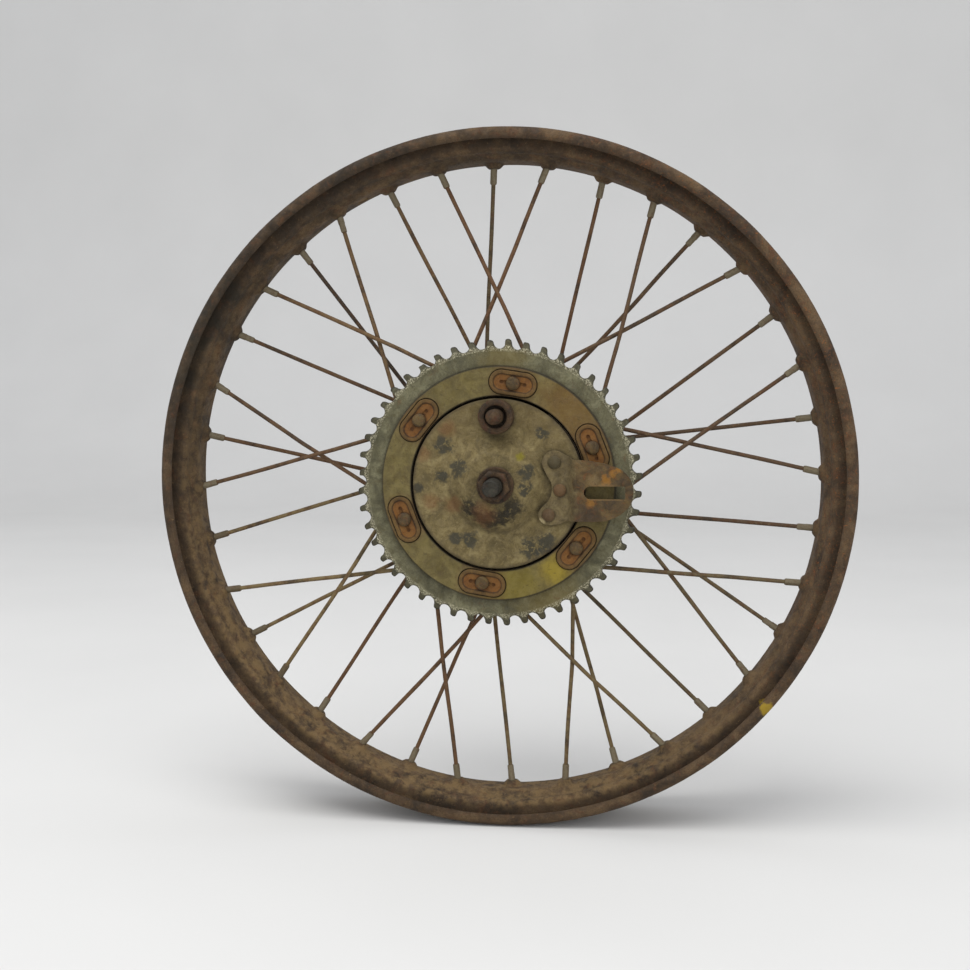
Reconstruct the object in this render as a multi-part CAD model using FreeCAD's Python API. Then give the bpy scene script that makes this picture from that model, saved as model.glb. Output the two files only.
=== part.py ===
import FreeCAD, Part
import math
import os

# Spoked rear wheel of a light motorcycle, in millimetres.
# The wheel stands upright and spins about the Y axis; the origin is the centre of the rim.
# The brake and sprocket side faces -Y.  Stations along the axis are written as a distance d
# towards that side from the middle of the rim, so y = -d.

# Rim
RIM_RADIUS = 243.6
BEAD_RADIUS = 229.2
WELL_RADIUS = 223.4
SHEET = 1.8
BEAD_HALF_WIDTH = 20.3
CURL_RADIUS = 5.5
SPOKES_PER_FAMILY = 9
FAMILY_STEP = 40.0
VALVE_ANGLE = 116.5
VALVE_HOLE_RADIUS = 4.25
NIPPLE_OFFSET = 3.5

# Spokes and nipples
SPOKE_RADIUS = 1.5
SPOKE_HEAD_RADIUS = 3.0
NIPPLE_RADIUS = 2.4
NIPPLE_BORE = 1.53
NIPPLE_LENGTH = 15.0

# Hub and brake drum
DRUM_INNER = 60.0
DRUM_OUTER = 64.0
DRUM_FRONT = 34.0
WEB_BACK = 4.0
WEB_FRONT = 8.0
BOSS_FRONT = 15.0
BARREL_RADIUS = 21.0
BARREL_BACK = -36.5
BRAKE_FLANGE = (14.0, 17.5)
BRAKE_FLANGE_RADIUS = 72.5
BRAKE_HOLE_CIRCLE = 67.0
FAR_FLANGE = (-34.5, -31.0)
FAR_FLANGE_RADIUS = 33.5
FAR_HOLE_CIRCLE = 28.2
SPOKE_HOLE_RADIUS = 1.75
SHOULDER = (23.0, 27.0)
SHOULDER_RADIUS = 78.0

# Sprocket: 48 teeth for half-inch pitch chain with 8.51 mm rollers
TEETH = 48
PITCH = 12.7
ROLLER = 8.51
TIP_RADIUS = 99.6
TOOTH_PHASE = 3.0
SPROCKET = (27.0, 34.0)
SPROCKET_BORE = 64.05

# Clamp ring, lock plates and bolts
RING = (34.0, 38.0)
RING_INNER = 60.3
RING_OUTER = 80.4
BOLT_COUNT = 6
BOLT_CIRCLE = 69.6
BOLT_PHASE = 21.0
BOLT_RADIUS = 2.95
RECESS_LENGTH = 34.6
RECESS_WIDTH = 17.8
RECESS_DEPTH = 1.0
LOCK_LENGTH = 32.8
LOCK_WIDTH = 16.6
LOCK_THICKNESS = 2.0
PAN_LENGTH = 25.4
PAN_WIDTH = 12.6
PAN_DEPTH = 0.9

# Bearings, 12 x 32 x 10
BEARING_BORE = 6.02
BEARING_OUTER = 16.0
BEARING_WIDTH = 10.0
BALL_RADIUS = 2.976
BALL_CIRCLE = 11.0
BALLS = 7
BEARINGS = {"left": 3.0, "right": -35.0}

# Axle line
AXLE_RADIUS = 5.8
AXLE_BODY_RADIUS = 5.99
AXLE_BORE = 6.02
AXLE_ENDS = (-81.0, 81.0)
NUT_FLATS = 19.0
NUT_HEIGHT = 10.0
WASHER_RADIUS = 12.6
WASHER_THICKNESS = 2.5
FAR_SPACER_END = -46.0

# Brake plate and what it carries
PLATE_RADIUS = 58.6
PLATE_FRONT = 39.0
PLATE_SHEET = 3.0
DOME_FOOT = 34.0
DOME_TOP = 21.0
DOME_FRONT = 51.0
PIVOT_HEIGHT = 46.3
CAM_BOSS_RADIUS = 11.9
CAM_BOSS_FRONT = 50.0
CAM_SEAL_BORE = 7.7
CAM_SHAFT_RADIUS = 5.4
LEVER_END_RADIUS = 5.2
CAM_SHAFT_FRONT = 65.0
CAM_HALF_THICKNESS = 4.5
CAM_HALF_HEIGHT = 6.0
ANCHOR_RADIUS = 6.0
ARM_SHEET = 3.5
ARM_FRONT = 49.0
SLOT_CENTRE_Z = -5.0
SLOT_WIDTH = 8.8
SLOT = (59.7, 87.4)
ARM_RIVETS = [(39.4, 15.2), (43.2, -3.8), (35.5, -20.7)]
RIVET_HEAD_RADIUS = 4.6

# Shoes
SHOE = (13.0, 33.0)
WEB_SHEET = 4.0
LINING_RADIUS = 59.35
LINING_THICKNESS = 4.0
PLATFORM_THICKNESS = 3.0
LINING_HALF_ANGLE = 54.0
SPRING_HEIGHT = 28.0
SPRING_RADIUS = 3.6
SPRING_WIRE = 0.75
SPRING_HOOK = 33.0

TINY = 0.02
AXIS = FreeCAD.Vector(0, -1, 0)
CENTRE = FreeCAD.Vector(0, 0, 0)


def vec(x, d, z):
    return FreeCAD.Vector(x, -d, z)


def polar(radius, degrees, d):
    a = math.radians(degrees)
    return vec(radius * math.cos(a), d, radius * math.sin(a))


def cylinder(radius, d0, d1, x=0.0, z=0.0):
    return Part.makeCylinder(radius, d1 - d0, vec(x, d0, z), AXIS)


def tube(outer, inner, d0, d1, x=0.0, z=0.0):
    return cylinder(outer, d0, d1, x, z).cut(cylinder(inner, d0 - 1, d1 + 1, x, z))


def turned(edges):
    """Solid of revolution about the wheel axis from a closed chain of edges."""
    face = Part.Face(Part.Wire(Part.__sortEdges__(edges)))
    return face.revolve(CENTRE, FreeCAD.Vector(0, 1, 0), 360)


def chain(points):
    """Edges through (r, d) points; an item with three points is an arc."""
    edges = []
    for item in points:
        ends = [vec(r, d, 0) for r, d in item]
        if len(ends) == 3:
            edges.append(Part.Arc(*ends).toShape())
        else:
            edges.append(Part.makeLine(*ends))
    return edges


def lathe(points):
    loop = list(zip(points, points[1:] + points[:1]))
    return turned(chain(loop))


def spun(shape, degrees):
    """Copy turned counter-clockwise as seen from the brake side."""
    copy = shape.copy()
    copy.rotate(CENTRE, AXIS, degrees)
    return copy


def ring_of(shape, count, step):
    return [spun(shape, step * k) for k in range(count)]


def prism(points, d0, d1):
    """Straight-sided plate from (x, z) corners between two stations."""
    corners = [vec(x, d0, z) for x, z in points]
    face = Part.Face(Part.makePolygon(corners + corners[:1]))
    return face.extrude(vec(0, d1 - d0, 0))


def box(x0, x1, d0, d1, z0, z1):
    return Part.makeBox(x1 - x0, d1 - d0, z1 - z0, FreeCAD.Vector(x0, -d1, z0))


def oval(length, width, d0, d1):
    """Round-ended bar, long way across, centred on the bolt at the right of the wheel."""
    half = (length - width) / 2
    bar = box(BOLT_CIRCLE - width / 2, BOLT_CIRCLE + width / 2, d0, d1, -half, half)
    for z in (-half, half):
        bar = bar.fuse(cylinder(width / 2, d0, d1, BOLT_CIRCLE, z))
    return bar.removeSplitter()


def hexagon(flats, d0, d1, bore):
    """Hexagonal nut with both ends chamfered."""
    corner = flats / math.sqrt(3)
    points = []
    for k in range(6):
        a = math.radians(60 * k + 30)
        points.append((corner * math.cos(a), corner * math.sin(a)))
    body = prism(points, d0, d1)
    trim = 0.9
    body = body.common(lathe([(0, d0), (corner - trim, d0), (corner + 0.3, d0 + trim * 0.7),
                              (corner + 0.3, d1 - trim * 0.7), (corner - trim, d1), (0, d1)]))
    return body.cut(cylinder(bore, d0 - 1, d1 + 1))


def cone_along(base, direction, r0, r1, height):
    return Part.makeCone(r0, r1, height, base, direction)


def save(name, *solids):
    shape = solids[0] if len(solids) == 1 else Part.makeCompound(list(solids))
    shape.exportStep("parts/" + name + ".step")


# Each family: rim angle, turn from rim to hub, hub station, hole circle, side of the flange,
# side of the rim, stand-off.  The elbow lies on the given side of the flange and the head on
# the other; elbows on the outer side stand off far enough for the wire to pass the flange edge.
FAMILIES = {
    "brake_a": (101.5, -40.0, BRAKE_FLANGE, BRAKE_HOLE_CIRCLE, 1, 1, 1.1),
    "far_a": (91.5, 40.0, FAR_FLANGE, FAR_HOLE_CIRCLE, -1, -1, 1.7),
    "brake_b": (81.5, 40.0, BRAKE_FLANGE, BRAKE_HOLE_CIRCLE, -1, 1, 0.15),
    "far_b": (71.5, -40.0, FAR_FLANGE, FAR_HOLE_CIRCLE, 1, -1, 0.15),
}


class SpokeLine:
    """Geometry of one spoke: elbow point beside the flange and the seat in the rim."""

    def __init__(self, rim_angle, turn, flange, hole_circle, elbow_side, rim_side, stand_off):
        self.hole_angle = rim_angle + turn
        self.middle = (flange[0] + flange[1]) / 2
        self.half = (flange[1] - flange[0]) / 2
        self.side = elbow_side
        self.circle = hole_circle
        self.elbow_d = self.middle + elbow_side * (self.half + SPOKE_RADIUS + stand_off)
        self.corner = polar(hole_circle, self.hole_angle, self.elbow_d)
        self.seat = polar(WELL_RADIUS + 1.0, rim_angle, rim_side * NIPPLE_OFFSET)
        self.along = self.seat.sub(self.corner).normalize()

    def seat_point(self, distance):
        return self.seat.add(self.along * distance)


def spoke(line):
    """Wire with a bent elbow through the flange hole and a round head behind the flange."""
    bend = 2.2
    inward = FreeCAD.Vector(0, line.side, 0)
    start = line.corner.add(line.along * bend)
    turn = line.corner.add(inward * bend)
    half_angle = line.along.getAngle(inward) / 2
    bisector = (line.along + inward).normalize()
    reach = bend / math.cos(half_angle) - bend * math.tan(half_angle)
    middle = line.corner.add(bisector * reach)
    end_d = line.middle - line.side * (line.half + 0.05)
    end = polar(line.circle, line.hole_angle, end_d)
    tip = line.seat_point(-1.0)
    path = Part.Wire([
        Part.makeLine(tip, start),
        Part.Arc(start, middle, turn).toShape(),
        Part.makeLine(turn, end),
    ])
    circle = Part.Wire([Part.makeCircle(SPOKE_RADIUS, tip, line.along)])
    wire = path.makePipeShell([circle], True, True)
    head = Part.makeCylinder(SPOKE_HEAD_RADIUS, 1.4, end, inward)
    return wire.fuse(head).removeSplitter()


def nipple(line):
    """Bored sleeve with a tapered head resting in the pressed dimple of the rim."""
    body = Part.makeCylinder(NIPPLE_RADIUS, NIPPLE_LENGTH, line.seat_point(-NIPPLE_LENGTH), line.along)
    taper = cone_along(line.seat_point(-2.35), line.along, 2.4, 4.65, 2.45)
    crown = cone_along(line.seat_point(0.1), line.along, 4.65, 3.4, 1.4)
    solid = body.fuse([taper, crown]).removeSplitter()
    bore = Part.makeCylinder(NIPPLE_BORE, NIPPLE_LENGTH, line.seat_point(-NIPPLE_LENGTH - 0.5), line.along)
    slot_at = line.seat_point(1.0)
    slot = Part.makeBox(1.0, 12.0, 2.0, FreeCAD.Vector(-0.5, -6.0, 0))
    slot.Placement = FreeCAD.Placement(slot_at, FreeCAD.Rotation(FreeCAD.Vector(0, 0, 1), line.along))
    return solid.cut([bore, slot])


def half_rim_profile():
    curl_r = RIM_RADIUS - CURL_RADIUS
    curl_d = BEAD_HALF_WIDTH + CURL_RADIUS
    inner = CURL_RADIUS - SHEET
    face = BEAD_HALF_WIDTH + SHEET
    hub = BEAD_RADIUS - SHEET
    top = WELL_RADIUS + SHEET

    def curl(radius, degrees):
        a = math.radians(degrees)
        return (curl_r + radius * math.cos(a), curl_d + radius * math.sin(a))

    return [
        ((WELL_RADIUS, 0), (WELL_RADIUS, 6.5)),
        ((WELL_RADIUS, 6.5), (223.7, 9.2), (224.5, 11.4)),
        ((224.5, 11.4), (226.0, 13.8)),
        ((226.0, 13.8), (227.05, 15.4), (hub, 17.4)),
        ((hub, 17.4), (hub, 18.1)),
        ((hub, 18.1), (hub + 1.172, 20.928), (hub + 4.0, face)),
        ((hub + 4.0, face), curl(inner, -90)),
        (curl(inner, -90), curl(inner, 20), curl(inner, 125)),
        (curl(inner, 125), curl(CURL_RADIUS, 125)),
        (curl(CURL_RADIUS, 125), curl(CURL_RADIUS, 20), curl(CURL_RADIUS, -90)),
        (curl(CURL_RADIUS, -90), (hub + 4.0, BEAD_HALF_WIDTH)),
        ((hub + 4.0, BEAD_HALF_WIDTH), (hub + 2.444, 19.656), (BEAD_RADIUS, 18.1)),
        ((BEAD_RADIUS, 18.1), (BEAD_RADIUS, 16.9)),
        ((BEAD_RADIUS, 16.9), (228.8, 14.8), (227.8, 12.9)),
        ((227.8, 12.9), (226.1, 10.3)),
        ((226.1, 10.3), (225.45, 8.3), (top, 6.0)),
        ((top, 6.0), (top, 0)),
    ]


def make_rim(lines):
    profile = half_rim_profile()
    mirrored = [tuple((r, -d) for r, d in item) for item in profile]
    rim = turned(chain(profile + mirrored))
    bumps = []
    pockets = []
    for line in lines:
        back = line.along * -1.0
        bump = cone_along(line.seat_point(0.3), back, 7.2, 4.0, 4.4)
        pocket = cone_along(line.seat_point(-2.2), line.along, 2.7, 7.47, 5.2)
        pocket = pocket.fuse(Part.makeCylinder(2.6, 8.0, line.seat_point(-6.0), line.along))
        bumps += ring_of(bump, SPOKES_PER_FAMILY, FAMILY_STEP)
        pockets += ring_of(pocket, SPOKES_PER_FAMILY, FAMILY_STEP)
    rim = rim.fuse(bumps)
    valve = Part.makeCylinder(VALVE_HOLE_RADIUS, 20, FreeCAD.Vector(WELL_RADIUS - 10, 0, 0),
                              FreeCAD.Vector(1, 0, 0))
    rim = rim.cut(pockets + [spun(valve, VALVE_ANGLE)])
    seam = box(WELL_RADIUS + SHEET - 0.5, WELL_RADIUS + SHEET + 1.9, -6.0, 6.0, -1.8, 1.8)
    return rim.fuse(spun(seam, VALVE_ANGLE + 180))


def make_hub():
    seat = BEARING_OUTER + TINY
    shell = lathe([
        (14.0, BARREL_BACK + 11.5), (seat, BARREL_BACK + 11.5), (seat, BARREL_BACK),
        (BARREL_RADIUS, BARREL_BACK), (BARREL_RADIUS, FAR_FLANGE[0]),
        (FAR_FLANGE_RADIUS, FAR_FLANGE[0]), (FAR_FLANGE_RADIUS, FAR_FLANGE[1]),
        (BARREL_RADIUS + 2.0, FAR_FLANGE[1]), (BARREL_RADIUS, FAR_FLANGE[1] + 3.0),
        (BARREL_RADIUS, WEB_BACK - 8.0), (BARREL_RADIUS + 8.0, WEB_BACK),
        (DRUM_OUTER - 4.0, WEB_BACK), (DRUM_OUTER, WEB_BACK + 4.0),
        (DRUM_OUTER, BRAKE_FLANGE[0]), (BRAKE_FLANGE_RADIUS, BRAKE_FLANGE[0]),
        (BRAKE_FLANGE_RADIUS, BRAKE_FLANGE[1]), (DRUM_OUTER, BRAKE_FLANGE[1]),
        (DRUM_OUTER, SHOULDER[0]), (SHOULDER_RADIUS, SHOULDER[0]),
        (SHOULDER_RADIUS, SHOULDER[1]), (DRUM_OUTER, SHOULDER[1]),
        (DRUM_OUTER, DRUM_FRONT), (DRUM_INNER + 1.0, DRUM_FRONT), (DRUM_INNER, DRUM_FRONT - 1.0),
        (DRUM_INNER, WEB_FRONT + 3.0), (DRUM_INNER - 3.0, WEB_FRONT),
        (BARREL_RADIUS - 1.0, WEB_FRONT), (BARREL_RADIUS - 1.0, BOSS_FRONT),
        (seat, BOSS_FRONT), (seat, BEARINGS["left"]), (14.0, BEARINGS["left"]),
    ])
    holes = []
    for name, data in FAMILIES.items():
        line = SpokeLine(*data)
        d0 = data[2][0] - 1
        d1 = data[2][1] + 1
        spot = polar(data[3], line.hole_angle, 0)
        drill = cylinder(SPOKE_HOLE_RADIUS, d0, d1, spot.x, spot.z)
        holes += ring_of(drill, SPOKES_PER_FAMILY, FAMILY_STEP)
    tapped = cylinder(3.0, SHOULDER[0] - 1, SHOULDER[1] + 1, BOLT_CIRCLE, 0)
    holes += [spun(h, BOLT_PHASE) for h in ring_of(tapped, BOLT_COUNT, 60)]
    return shell.cut(holes)


def make_sprocket():
    pitch_radius = PITCH / 2 / math.sin(math.pi / TEETH)
    arc_radius = ROLLER / 2 + 0.08
    step = 360.0 / TEETH
    tip_half = math.degrees(0.65 / TIP_RADIUS)
    edges = []

    def seat_point(centre_angle, swing):
        a = math.radians(centre_angle)
        b = math.radians(centre_angle + 180 + swing)
        x = pitch_radius * math.cos(a) + arc_radius * math.cos(b)
        z = pitch_radius * math.sin(a) + arc_radius * math.sin(b)
        return vec(x, SPROCKET[0], z)

    for k in range(TEETH):
        tooth = TOOTH_PHASE + k * step
        gap = tooth + step / 2
        following = tooth + step
        leave = seat_point(gap, 78)
        arrive = seat_point(gap, -78)
        edges.append(Part.makeLine(polar(TIP_RADIUS, tooth - tip_half, SPROCKET[0]),
                                   polar(TIP_RADIUS, tooth + tip_half, SPROCKET[0])))
        edges.append(Part.makeLine(polar(TIP_RADIUS, tooth + tip_half, SPROCKET[0]), leave))
        edges.append(Part.Arc(leave, seat_point(gap, 0), arrive).toShape())
        edges.append(Part.makeLine(arrive, polar(TIP_RADIUS, following - tip_half, SPROCKET[0])))
    plate = Part.Face(Part.Wire(Part.__sortEdges__(edges))).extrude(vec(0, SPROCKET[1] - SPROCKET[0], 0))
    root = pitch_radius - arc_radius - 1.0
    trim = lathe([(SPROCKET_BORE, SPROCKET[0]), (root, SPROCKET[0]),
                  (TIP_RADIUS + 1, SPROCKET[0] + 1.9), (TIP_RADIUS + 1, SPROCKET[1] - 1.9),
                  (root, SPROCKET[1]), (SPROCKET_BORE, SPROCKET[1])])
    drill = cylinder(3.2, SPROCKET[0] - 1, SPROCKET[1] + 1, BOLT_CIRCLE, 0)
    holes = [spun(h, BOLT_PHASE) for h in ring_of(drill, BOLT_COUNT, 60)]
    return plate.common(trim).cut(holes)


def make_clamp_ring():
    ring = lathe([(RING_INNER, RING[0]), (RING_OUTER, RING[0]), (RING_OUTER, RING[1] - 0.5),
                  (RING_OUTER - 0.5, RING[1]), (RING_INNER + 0.3, RING[1]), (RING_INNER, RING[1] - 0.3)])
    cuts = []
    recess = oval(RECESS_LENGTH, RECESS_WIDTH, RING[1] - RECESS_DEPTH, RING[1] + 1)
    drill = cylinder(3.2, RING[0] - 1, RING[1] + 1, BOLT_CIRCLE, 0)
    for shape in (recess, drill):
        cuts += [spun(h, BOLT_PHASE) for h in ring_of(shape, BOLT_COUNT, 60)]
    return ring.cut(cuts)


def make_lock_plate():
    base = RING[1] - RECESS_DEPTH
    top = base + LOCK_THICKNESS
    plate = oval(LOCK_LENGTH, LOCK_WIDTH, base, top)
    plate = plate.cut(oval(PAN_LENGTH, PAN_WIDTH, top - PAN_DEPTH, top + 1))
    plate = plate.cut(cylinder(3.1, base - 1, top + 1, BOLT_CIRCLE, 0))
    for z in (-8.0, 8.0):
        plate = plate.cut(cylinder(1.0, base - 1, top + 1, BOLT_CIRCLE, z))
    return spun(plate, BOLT_PHASE)


def make_sprocket_bolt():
    base = RING[1] - RECESS_DEPTH + LOCK_THICKNESS - PAN_DEPTH
    shank = cylinder(BOLT_RADIUS, SHOULDER[0], base, BOLT_CIRCLE, 0)
    head = Part.makeCone(4.7, 4.3, 1.8, vec(BOLT_CIRCLE, base, 0), AXIS)
    crown = Part.makeCone(4.3, 2.6, 0.8, vec(BOLT_CIRCLE, base + 1.8, 0), AXIS)
    return spun(shank.fuse([head, crown]).removeSplitter(), BOLT_PHASE)


def raceway(d_mid):
    return Part.makeTorus(BALL_CIRCLE, BALL_RADIUS + 0.04, vec(0, d_mid, 0), AXIS)


def make_bearing(side):
    d0 = BEARINGS[side]
    d1 = d0 + BEARING_WIDTH
    middle = (d0 + d1) / 2
    outer = tube(BEARING_OUTER, 13.4, d0 + TINY, d1).cut(raceway(middle))
    inner = tube(9.1, BEARING_BORE, d0 + TINY, d1 - TINY).cut(raceway(middle))
    ball = Part.makeSphere(BALL_RADIUS, polar(BALL_CIRCLE, 90, middle))
    pocket = Part.makeSphere(BALL_RADIUS + 0.1, polar(BALL_CIRCLE, 90, middle))
    cage = tube(12.9, 9.6, middle - 3.7, middle + 3.7)
    cage = cage.cut(ring_of(pocket, BALLS, 360 / BALLS))
    save("bearing_outer_ring_" + side, outer)
    save("bearing_inner_ring_" + side, inner)
    save("bearing_balls_" + side, *ring_of(ball, BALLS, 360 / BALLS))
    save("bearing_cage_" + side, cage)


def make_axle():
    """Plain middle with a threaded end beyond each nut, chamfered at the tips."""
    left_nut = DOME_FRONT + WASHER_THICKNESS + NUT_HEIGHT
    right_nut = FAR_SPACER_END - WASHER_THICKNESS - NUT_HEIGHT
    tip = AXLE_RADIUS - 1.2
    return lathe([(0, AXLE_ENDS[0]), (tip, AXLE_ENDS[0]), (AXLE_RADIUS, AXLE_ENDS[0] + 1.2),
                  (AXLE_RADIUS, right_nut), (AXLE_BODY_RADIUS, right_nut + 0.1),
                  (AXLE_BODY_RADIUS, left_nut - 0.1), (AXLE_RADIUS, left_nut),
                  (AXLE_RADIUS, AXLE_ENDS[1] - 1.2), (tip, AXLE_ENDS[1]), (0, AXLE_ENDS[1])])


def make_dust_covers():
    left = tube(BEARING_OUTER, 10.3, BEARINGS["left"] + BEARING_WIDTH + 0.1, BOSS_FRONT)
    right = tube(BEARING_OUTER, 10.3, BARREL_BACK, BEARINGS["right"] - 0.1)
    return left, right


def make_brake_plate():
    back = PLATE_FRONT - PLATE_SHEET
    dome_back = DOME_FRONT - PLATE_SHEET
    plate = turned(chain([
        ((6.1, DOME_FRONT), (DOME_TOP, DOME_FRONT)),
        ((DOME_TOP, DOME_FRONT), (DOME_TOP + 6.2, DOME_FRONT - 3.4), (DOME_TOP + 8.2, PLATE_FRONT + 3.4)),
        ((DOME_TOP + 8.2, PLATE_FRONT + 3.4), (DOME_TOP + 9.5, PLATE_FRONT + 1.0), (DOME_FOOT, PLATE_FRONT)),
        ((DOME_FOOT, PLATE_FRONT), (PLATE_RADIUS - 0.8, PLATE_FRONT)),
        ((PLATE_RADIUS - 0.8, PLATE_FRONT), (PLATE_RADIUS, PLATE_FRONT - 0.8)),
        ((PLATE_RADIUS, PLATE_FRONT - 0.8), (PLATE_RADIUS, back)),
        ((PLATE_RADIUS, back), (DOME_FOOT - 5.0, back)),
        ((DOME_FOOT - 5.0, back), (DOME_TOP + 5.4, dome_back - 9.0)),
        ((DOME_TOP + 5.4, dome_back - 9.0), (DOME_TOP + 3.6, dome_back - 2.4), (DOME_TOP - 1.5, dome_back)),
        ((DOME_TOP - 1.5, dome_back), (6.1, dome_back)),
        ((6.1, dome_back), (6.1, DOME_FRONT)),
    ]))
    plate = plate.cut(cylinder(9.0, back - 1, DOME_FRONT + 1, 0, PIVOT_HEIGHT))
    holes = [cylinder(3.0, back - 1, PLATE_FRONT + 1, x, z) for x, z in ARM_RIVETS]
    return plate.cut(holes)


def make_cam_boss():
    body = cylinder(CAM_BOSS_RADIUS, PLATE_FRONT + TINY, CAM_BOSS_FRONT, 0, PIVOT_HEIGHT)
    body = body.fuse(cylinder(8.95, SHOE[1] + 0.8, PLATE_FRONT + 1, 0, PIVOT_HEIGHT))
    seal = cylinder(CAM_SEAL_BORE, CAM_BOSS_FRONT - 6.0, CAM_BOSS_FRONT + 1, 0, PIVOT_HEIGHT)
    bore = cylinder(CAM_SHAFT_RADIUS + 0.05, SHOE[1] - 1, CAM_BOSS_FRONT + 1, 0, PIVOT_HEIGHT)
    return body.cut([seal, bore])


def make_cam():
    shaft = cylinder(CAM_SHAFT_RADIUS, SHOE[1] - 1.0, CAM_BOSS_FRONT, 0, PIVOT_HEIGHT)
    lever_end = cylinder(LEVER_END_RADIUS, CAM_BOSS_FRONT, CAM_SHAFT_FRONT - 2.0, 0, PIVOT_HEIGHT)
    shaft = shaft.fuse(lever_end)
    end = Part.makeCone(LEVER_END_RADIUS, 3.2, 2.0, vec(0, CAM_SHAFT_FRONT - 2.0, PIVOT_HEIGHT), AXIS)
    half = CAM_HALF_THICKNESS
    block = box(-half, half, SHOE[0] + 1, SHOE[1] + 0.4, PIVOT_HEIGHT - CAM_HALF_HEIGHT,
                PIVOT_HEIGHT + CAM_HALF_HEIGHT)
    return block.fuse([shaft, end]).removeSplitter()


def make_torque_arm():
    d0 = PLATE_FRONT + TINY
    t = ARM_SHEET
    rise0 = 49.0
    rise1 = 53.2
    side = [(26.0, d0), (rise0 + 1.0, d0), (rise1 + 1.0, ARM_FRONT - t), (96.0, ARM_FRONT - t),
            (96.0, ARM_FRONT), (rise1 - 1.0, ARM_FRONT), (rise0 - 1.0, d0 + t), (26.0, d0 + t)]
    corners = [FreeCAD.Vector(x, -d, -40) for x, d in side]
    sheet = Part.Face(Part.makePolygon(corners + corners[:1])).extrude(FreeCAD.Vector(0, 0, 80))

    outline = [(51.0, 17.2), (60.0, 16.8), (69.0, 15.5), (77.0, 13.6), (84.0, 10.8), (89.0, 6.8),
               (92.0, 1.4), (92.8, -5.0), (91.6, -11.2), (87.8, -16.8), (81.9, -21.0), (74.8, -23.8),
               (66.0, -24.6), (51.0, -24.5)]
    curve = Part.BSplineCurve()
    curve.interpolate([vec(x, d0 - 1, z) for x, z in outline[1:-1]])
    first = vec(outline[0][0], d0 - 1, outline[0][1])
    last = vec(outline[-1][0], d0 - 1, outline[-1][1])
    wire = Part.Wire([Part.makeLine(first, curve.StartPoint), curve.toShape(),
                      Part.makeLine(curve.EndPoint, last), Part.makeLine(last, first)])
    reach = Part.Face(wire).extrude(vec(0, 14, 0))

    base = prism([(31.5, 20.0), (38.0, 22.6), (51.2, 20.2), (51.2, -24.5), (47.0, -25.2), (42.5, -27.0),
                  (34.0, -27.4), (29.5, -23.5), (32.5, -15.5), (37.0, -9.0), (37.6, 0.5), (33.5, 8.0)],
                 d0 - 1, ARM_FRONT + 1)
    for x, z, r in ((ARM_RIVETS[0][0], ARM_RIVETS[0][1], 8.2), (ARM_RIVETS[2][0], ARM_RIVETS[2][1], 7.0)):
        base = base.fuse(cylinder(r, d0 - 1, ARM_FRONT + 1, x, z))
    arm = sheet.common(reach.fuse(base))
    half = SLOT_WIDTH / 2
    slot = box(SLOT[0] + half, SLOT[1], d0, ARM_FRONT + 1, SLOT_CENTRE_Z - half, SLOT_CENTRE_Z + half)
    slot = slot.fuse(cylinder(half, d0, ARM_FRONT + 1, SLOT[0] + half, SLOT_CENTRE_Z))
    holes = [cylinder(3.0, d0 - 1, ARM_FRONT + 1, x, z) for x, z in ARM_RIVETS]
    return arm.cut([slot] + holes)


def make_arm_rivet(x, z):
    front = PLATE_FRONT + ARM_SHEET + TINY
    back = PLATE_FRONT - PLATE_SHEET
    shank = cylinder(2.98, back, front, x, z)
    ball = Part.makeSphere(5.6, vec(x, front - 3.2, z))
    head = ball.common(cylinder(RIVET_HEAD_RADIUS, front, front + 6, x, z))
    tail = Part.makeCone(4.4, 3.8, 1.4, vec(x, back, z), FreeCAD.Vector(0, 1, 0))
    return shank.fuse([head, tail]).removeSplitter()


def sector(outer, inner, half_angle, d0, d1):
    """Part of a ring spanning plus and minus half_angle about +X."""
    reach = outer * 2
    a = math.radians(half_angle)
    wedge = prism([(0, 0), (reach * math.cos(a), -reach * math.sin(a)), (reach * 1.5, 0),
                   (reach * math.cos(a), reach * math.sin(a))], d0, d1)
    return tube(outer, inner, d0, d1).common(wedge)


def lining_rivet_lines():
    """Outward direction and station of each of the eight lining rivets."""
    lines = []
    for angle in (-40, -16, 16, 40):
        a = math.radians(angle)
        for d in (SHOE[0] + 4, SHOE[1] - 4):
            lines.append((FreeCAD.Vector(math.cos(a), 0, math.sin(a)), vec(0, d, 0)))
    return lines


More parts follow.
